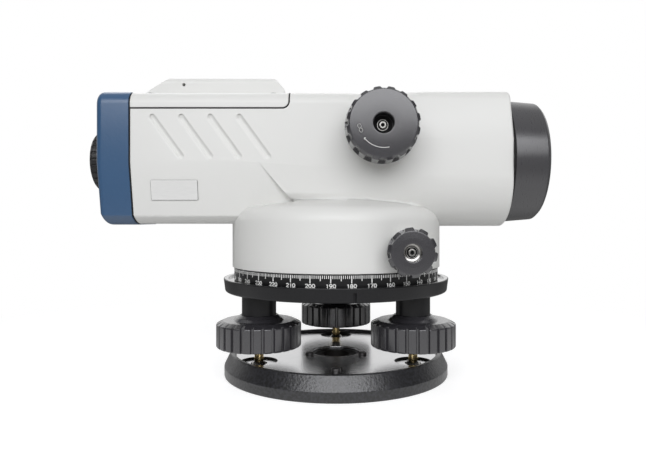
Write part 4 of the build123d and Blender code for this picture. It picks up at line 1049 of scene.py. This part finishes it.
# The focus screw's socket, the gap round its head and the washer's outer part are painted black as shade.
touch_up(focus_screw, black_inside, recess_painted_shade(focus_centre, -focus_floor, washer_bore - 0.02))


def on_face(raised):
    """Where a mark's points lie on the knob's face, in mm about its centre, with the mark raised."""
    def surface(point, lift):
        return Vector((focus_centre[0] + point.x, focus_face - (lift + raised), focus_centre[2] + point.y))
    return surface


loop = bow(0.95, 0, 0.95, 0.75, 0, 360)
sign_middle = Vector((-10.0, -2.3))
sign_lean = Matrix.Rotation(math.radians(-68), 2)
sign = [[sign_lean @ Vector((half * u, v)) + sign_middle for u, v in loop] for half in (-1, 1)]
arc_radius = 10.5
arc = [Vector(point) for point in bow(0, 0, arc_radius, arc_radius, 218, 283, 5)]
barb = [arc[0] + Vector((-0.05, -0.7)), arc[0], arc[0] + Vector((0.7, 0.15))]
# Each mark is a dark ribbon under a thin white filled line. The dark ribbon is painted shade standing in
# for an engraved groove.
for name, width, sign_share, raised, material in (
    ("groove", 0.64, 0.9, -0.015, seal_rubber), ("fill", 0.22, 0.55, 0.0, white_fill),
):
    marks = bmesh.new()
    for points, share in ((sign[0], sign_share), (sign[1], sign_share), (arc, 1), (barb, 1)):
        ribbon(marks, points, width * share, on_face(raised))
    bmesh.ops.recalc_face_normals(marks, faces=marks.faces)
    focus_marks = piece(f"focus_marks_{name}", meshed(marks, f"focus_marks_{name}"))
    wear(focus_marks, material, "knob_plastic", "focus_drive")


# Fine drive: the shaft across the drum with a knob at each end, in two bushes.
# The knobs are moulded dark plastic with ten rounded notches and a deep recess for a socket screw.
dress(steel, "tangent_shaft")
dress(brass, "tangent_bushes")
tangent_centre = (31.2, 0, 61.9)
tangent_back = 47.095
tangent_rim = tangent_back + 2.0
tangent_end = 57.695
tangent_bore = 3.02
tangent_floor = 53.195
tangent_recess = 3.7
tangent_dish = 0.4
tangent_notches = 10
tangent_twist = 10.2
tangent_outline = [
    (tangent_back, tangent_bore, 0), (tangent_back, 8.7, 0.2), (tangent_back + 1.0, 9.7, 0.3),
    (tangent_back + 1.9, 9.77, 0.1), (tangent_back + 2.1, 9.79, 0.1), (tangent_end - 1.6, 10.4, 0.6),
    (tangent_end - 0.2, 8.9, 0.5), (tangent_end, 6.0, 2), (tangent_end, tangent_recess, 0.4),
    (tangent_floor, tangent_recess, 0), (tangent_floor, tangent_bore, 0),
]
for name, way in (("near", -1), ("far", 1)):
    low, high = sorted((way * tangent_rim, way * (tangent_end + 1)))
    outline = [(way * along, out, rounding) for along, out, rounding in tangent_outline]
    notches = {"Floor": 9.05, "Share": 0.2, "Wall": 0.32, "Low": low, "High": high}
    tangent_knob = grooved_piece(
        f"tangent_knob_{name}_notched", outline, "ACROSS", tangent_centre, tangent_notches, notches,
        knob_plastic, 32, tangent_twist)
    wear(tangent_knob, knob_plastic, "knob_plastic", "tangent", f"tangent_knob_{name}")
tangent_screws = socket_screws("tangent_screws_turned", [
    (way * tangent_floor, way, tangent_recess, tangent_dish, tangent_centre) for way in (-1, 1)])
wear(tangent_screws, steel, "steel", "tangent", "tangent_knob_screws")
# The screws' sockets and the gaps round their heads are painted black as shade.
touch_up(tangent_screws, black_inside, recess_painted_shade(tangent_centre, tangent_floor, tangent_recess))


# Eyepiece: the ribbed ring at the eye end, which slides the eyepiece tube, and the reticle before it.
# The ring is moulded black rubbery plastic with fine ribs round its edge and a smooth lip. The
# tube, holder and reticle cell are turned and blackened, and keep their CAD shape.
eye_rubber, place = finish("eye_rubber")
bloom = place.grain(1200, 2.0)
coat(place, {
    "Base Color": bloom.tint(ink(24, 24, 25), ink(36, 36, 37)),
    "Roughness": 0.34 + bloom * 0.15,
    "Normal": bloom.bump(0.00005, 0.5),
})
ring_end = -118.19
ring_step = -113.8
ring_heel = -110.1
ring_radius = 15.2
ring_bore = 12.05
eye_opening = 8.2
ring_ribs = 30
ring = grooved_piece("dioptre_ring_ribbed", [
    (ring_end, eye_opening, 0.5), (ring_end, 13.6, 0.8), (ring_end + 1.6, ring_radius, 0.5),
    (ring_heel - 0.6, ring_radius, 0.3), (ring_heel, 14.6, 0.2), (ring_heel, ring_bore, 0),
    (ring_step, ring_bore, 0), (ring_step, eye_opening, 0.3),
], "FORWARD", optic, ring_ribs, {
    "Floor": 14.55, "Share": 0.2, "Wall": 0.2, "Low": ring_end + 1.0, "High": ring_heel + 0.1,
}, eye_rubber)
wear(ring, eye_rubber, "eye_rubber", "dioptre", "dioptre_ring")
clear_glass, place = finish("clear_glass")
film = place.grain(20, 1.0)
coat(place, {
    "Base Color": film.tint(ink(244, 248, 246), ink(250, 250, 250)),
    "Roughness": 0.02,
    "IOR": 1.5,
    "Transmission Weight": 1.0,
})
dress(black_inside, "eyepiece_holder", "eyepiece_tube", "reticle_cell")
dress(coated_glass, "eyepiece_lenses")
dress(clear_glass, "reticle_glass")


# Compensator: prisms on a frame and a prism on a pendulum that hangs by four wires.
# These are inside the housing, so they keep their CAD shape.
dress(black_inside, "compensator_frame", "pendulum")
dress(clear_glass, "compensator_prisms", "pendulum_prism")
dress(steel, "damper_cup", "suspension_wires")


# Circular level: a bubble in a round vial on the far side, with a hinged mirror over it.
# The cup is black anodised and screwed to its boss, and the vial is glass with a pale liquid.
level_liquid, place = finish("level_liquid")
tone = place.grain(90, 1.0)
coat(place, {
    "Base Color": tone.tint(ink(196, 222, 96), ink(206, 230, 112)),
    "Roughness": 0.04,
    "IOR": 1.45,
    "Transmission Weight": 0.75,
})
mirror_silver, place = finish("mirror_silver")
haze = place.grain(40, 1.0)
coat(place, {
    "Base Color": haze.tint(ink(226, 228, 230), ink(236, 238, 240)),
    "Metallic": 1.0,
    "Roughness": 0.02 + haze * 0.03,
})
level_centre = (-22.0, 41.0, 0)
level_z = 85.3
flange_top = level_z + 2.0
flange_radius = 13.2
cup_top = level_z + 8.5
cup_radius = 9.6
cup_bore = 8.3
level_screw_ring = 11.4
level_cup = piece("level_cup_turned", turned([
    (level_z, 0, 0), (level_z, flange_radius, 0.2), (flange_top, flange_radius, 0.4),
    (flange_top, cup_radius, 0.4), (cup_top, cup_radius, 0.5), (cup_top, cup_bore, 0.3),
    (flange_top, cup_bore, 0), (flange_top, 0, 0),
], "UP", level_centre, 96))
wear(level_cup, dark_anodised, "dark_anodised", "alidade", "level_cup")
level_screw_places = [Vector(level_centre) + on_ring(level_screw_ring, angle) for angle in (90, 210, 330)]
level_screws = slotted_screws("level_screws_turned", level_screw_places, flange_top, 1.6, 1.2, oxide_steel)
wear(level_screws, oxide_steel, "steel", "alidade", "level_screws")
dress(level_liquid, "level_vial")
mirror_arm = softened("mirror_arm_frame", "mirror_arm", 0.3)
wear(mirror_arm, dark_anodised, "dark_anodised", "mirror", "mirror_arm")
dress(mirror_silver, "bubble_mirror")


# Studio: a plain white floor and surroundings, a large soft lamp and a narrow one in front, and a
# weaker one high behind. The camera stands at the level's right side, low and close, and mirrored
# rays find its side of the room darker than the far side.
floor_reach = 4.0
floor_corners = [(x * floor_reach, y * floor_reach, 0) for x, y in ((-1, -1), (1, -1), (1, 1), (-1, 1))]
floor_mesh = bpy.data.meshes.new("studio_floor")
floor_mesh.from_pydata(floor_corners, [], [(0, 1, 2, 3)])
floor = piece("studio_floor", floor_mesh)
floor_white, place = finish("floor_white")
floor_grey = 0.62
ambient = 0.36
dim_side = 0.12


def studio_white(tree, behind):
    """The light for each kind of ray, 1 for the camera's own, and which rays are mirrored."""
    rays = tree.nodes.new("ShaderNodeLightPath").outputs
    camera_ray = Wire(tree, rays["Is Camera Ray"])
    glossy = Wire(tree, rays["Is Glossy Ray"])
    mirrored = glossy.math("MAXIMUM", glossy, Wire(tree, rays["Is Transmission Ray"]))
    others = mirrored * (behind * (1 - dim_side) + dim_side) + (1 - mirrored) * ambient
    return camera_ray + (1 - camera_ray) * others, mirrored


x, y, z = place.split()
distance = x.math("SQRT", x * x + y * y)
around = 0.75 - distance.between(0.16, 0.36) * 0.5
white, mirrored = studio_white(floor_white.node_tree, around * (1 - y.between(-0.02, 0.08) * 0.8))
matt = place.node("ShaderNodeBsdfDiffuse", {}, {"Color": (floor_grey, floor_grey, floor_grey, 1)})
glow = place.node("ShaderNodeEmission", {}, {"Color": (1, 1, 1, 1), "Strength": white * floor_grey})
near = place.node("ShaderNodeAddShader", {}, {0: matt, 1: glow})
far = place.node("ShaderNodeEmission", {}, {"Color": (1, 1, 1, 1), "Strength": white})
plain = mirrored.math("MAXIMUM", mirrored, distance.between(0.1, 0.3))
lit = place.node("ShaderNodeMixShader", {}, {0: plain, 1: near, 2: far})
place.node("ShaderNodeOutputMaterial", {}, {"Surface": lit})
floor.data.materials.append(floor_white)

world = bpy.data.worlds.new("studio")
bpy.context.scene.world = world
world.use_nodes = True
world.node_tree.nodes.clear()
toward = Wire(world.node_tree, world.node_tree.nodes.new("ShaderNodeTexCoord").outputs["Generated"])
x, y, z = toward.split()
behind = y.between(0.1, 0.8) * z.between(-0.02, 0.08)
white, mirrored = studio_white(world.node_tree, behind.math("MAXIMUM", behind, z.between(0.6, 0.95) * 0.48))
sky = white.node("ShaderNodeBackground", {}, {"Color": (1, 1, 1, 1), "Strength": white})
sky.node("ShaderNodeOutputWorld", {}, {"Surface": sky})

aim = Vector((0, 0, 0.09))
daylight = (0.97, 0.975, 1.0)
for name, spot, width, height, power in (
    ("front_lamp", (0.02, -0.9, 0.525), 1.3, 0.55, 6.9),
    ("front_strip", (0.02, -0.78, 0.7), 1.2, 0.2, 1.7),
    ("rear_lamp", (-0.2, 0.75, 0.95), 0.9, 0.5, 2.8),
):
    lamp = bpy.data.lights.new(name, "AREA")
    lamp.shape = "RECTANGLE"
    lamp.size = width
    lamp.size_y = height
    lamp.energy = power
    lamp.color = daylight
    lamp_object = bpy.data.objects.new(name, lamp)
    lamp_object.location = spot
    lamp_object.rotation_euler = (aim - Vector(spot)).to_track_quat("-Z", "Y").to_euler()
    bpy.context.scene.collection.objects.link(lamp_object)

image_width = 646
focal_length = 587
camera = bpy.data.cameras.new("photo_camera")
camera.sensor_width = 36.0
camera.lens = camera.sensor_width * focal_length / image_width
camera.shift_x = -13.0 / image_width
camera.shift_y = -18.5 / image_width
camera.clip_start = 0.01
camera_object = bpy.data.objects.new("photo_camera", camera)
camera_object.location = (0, -0.295, 0.0757)
camera_object.rotation_euler = (math.pi / 2, 0, 0)
bpy.context.scene.collection.objects.link(camera_object)
bpy.context.scene.camera = camera_object
bpy.context.scene.view_settings.view_transform = "Standard"
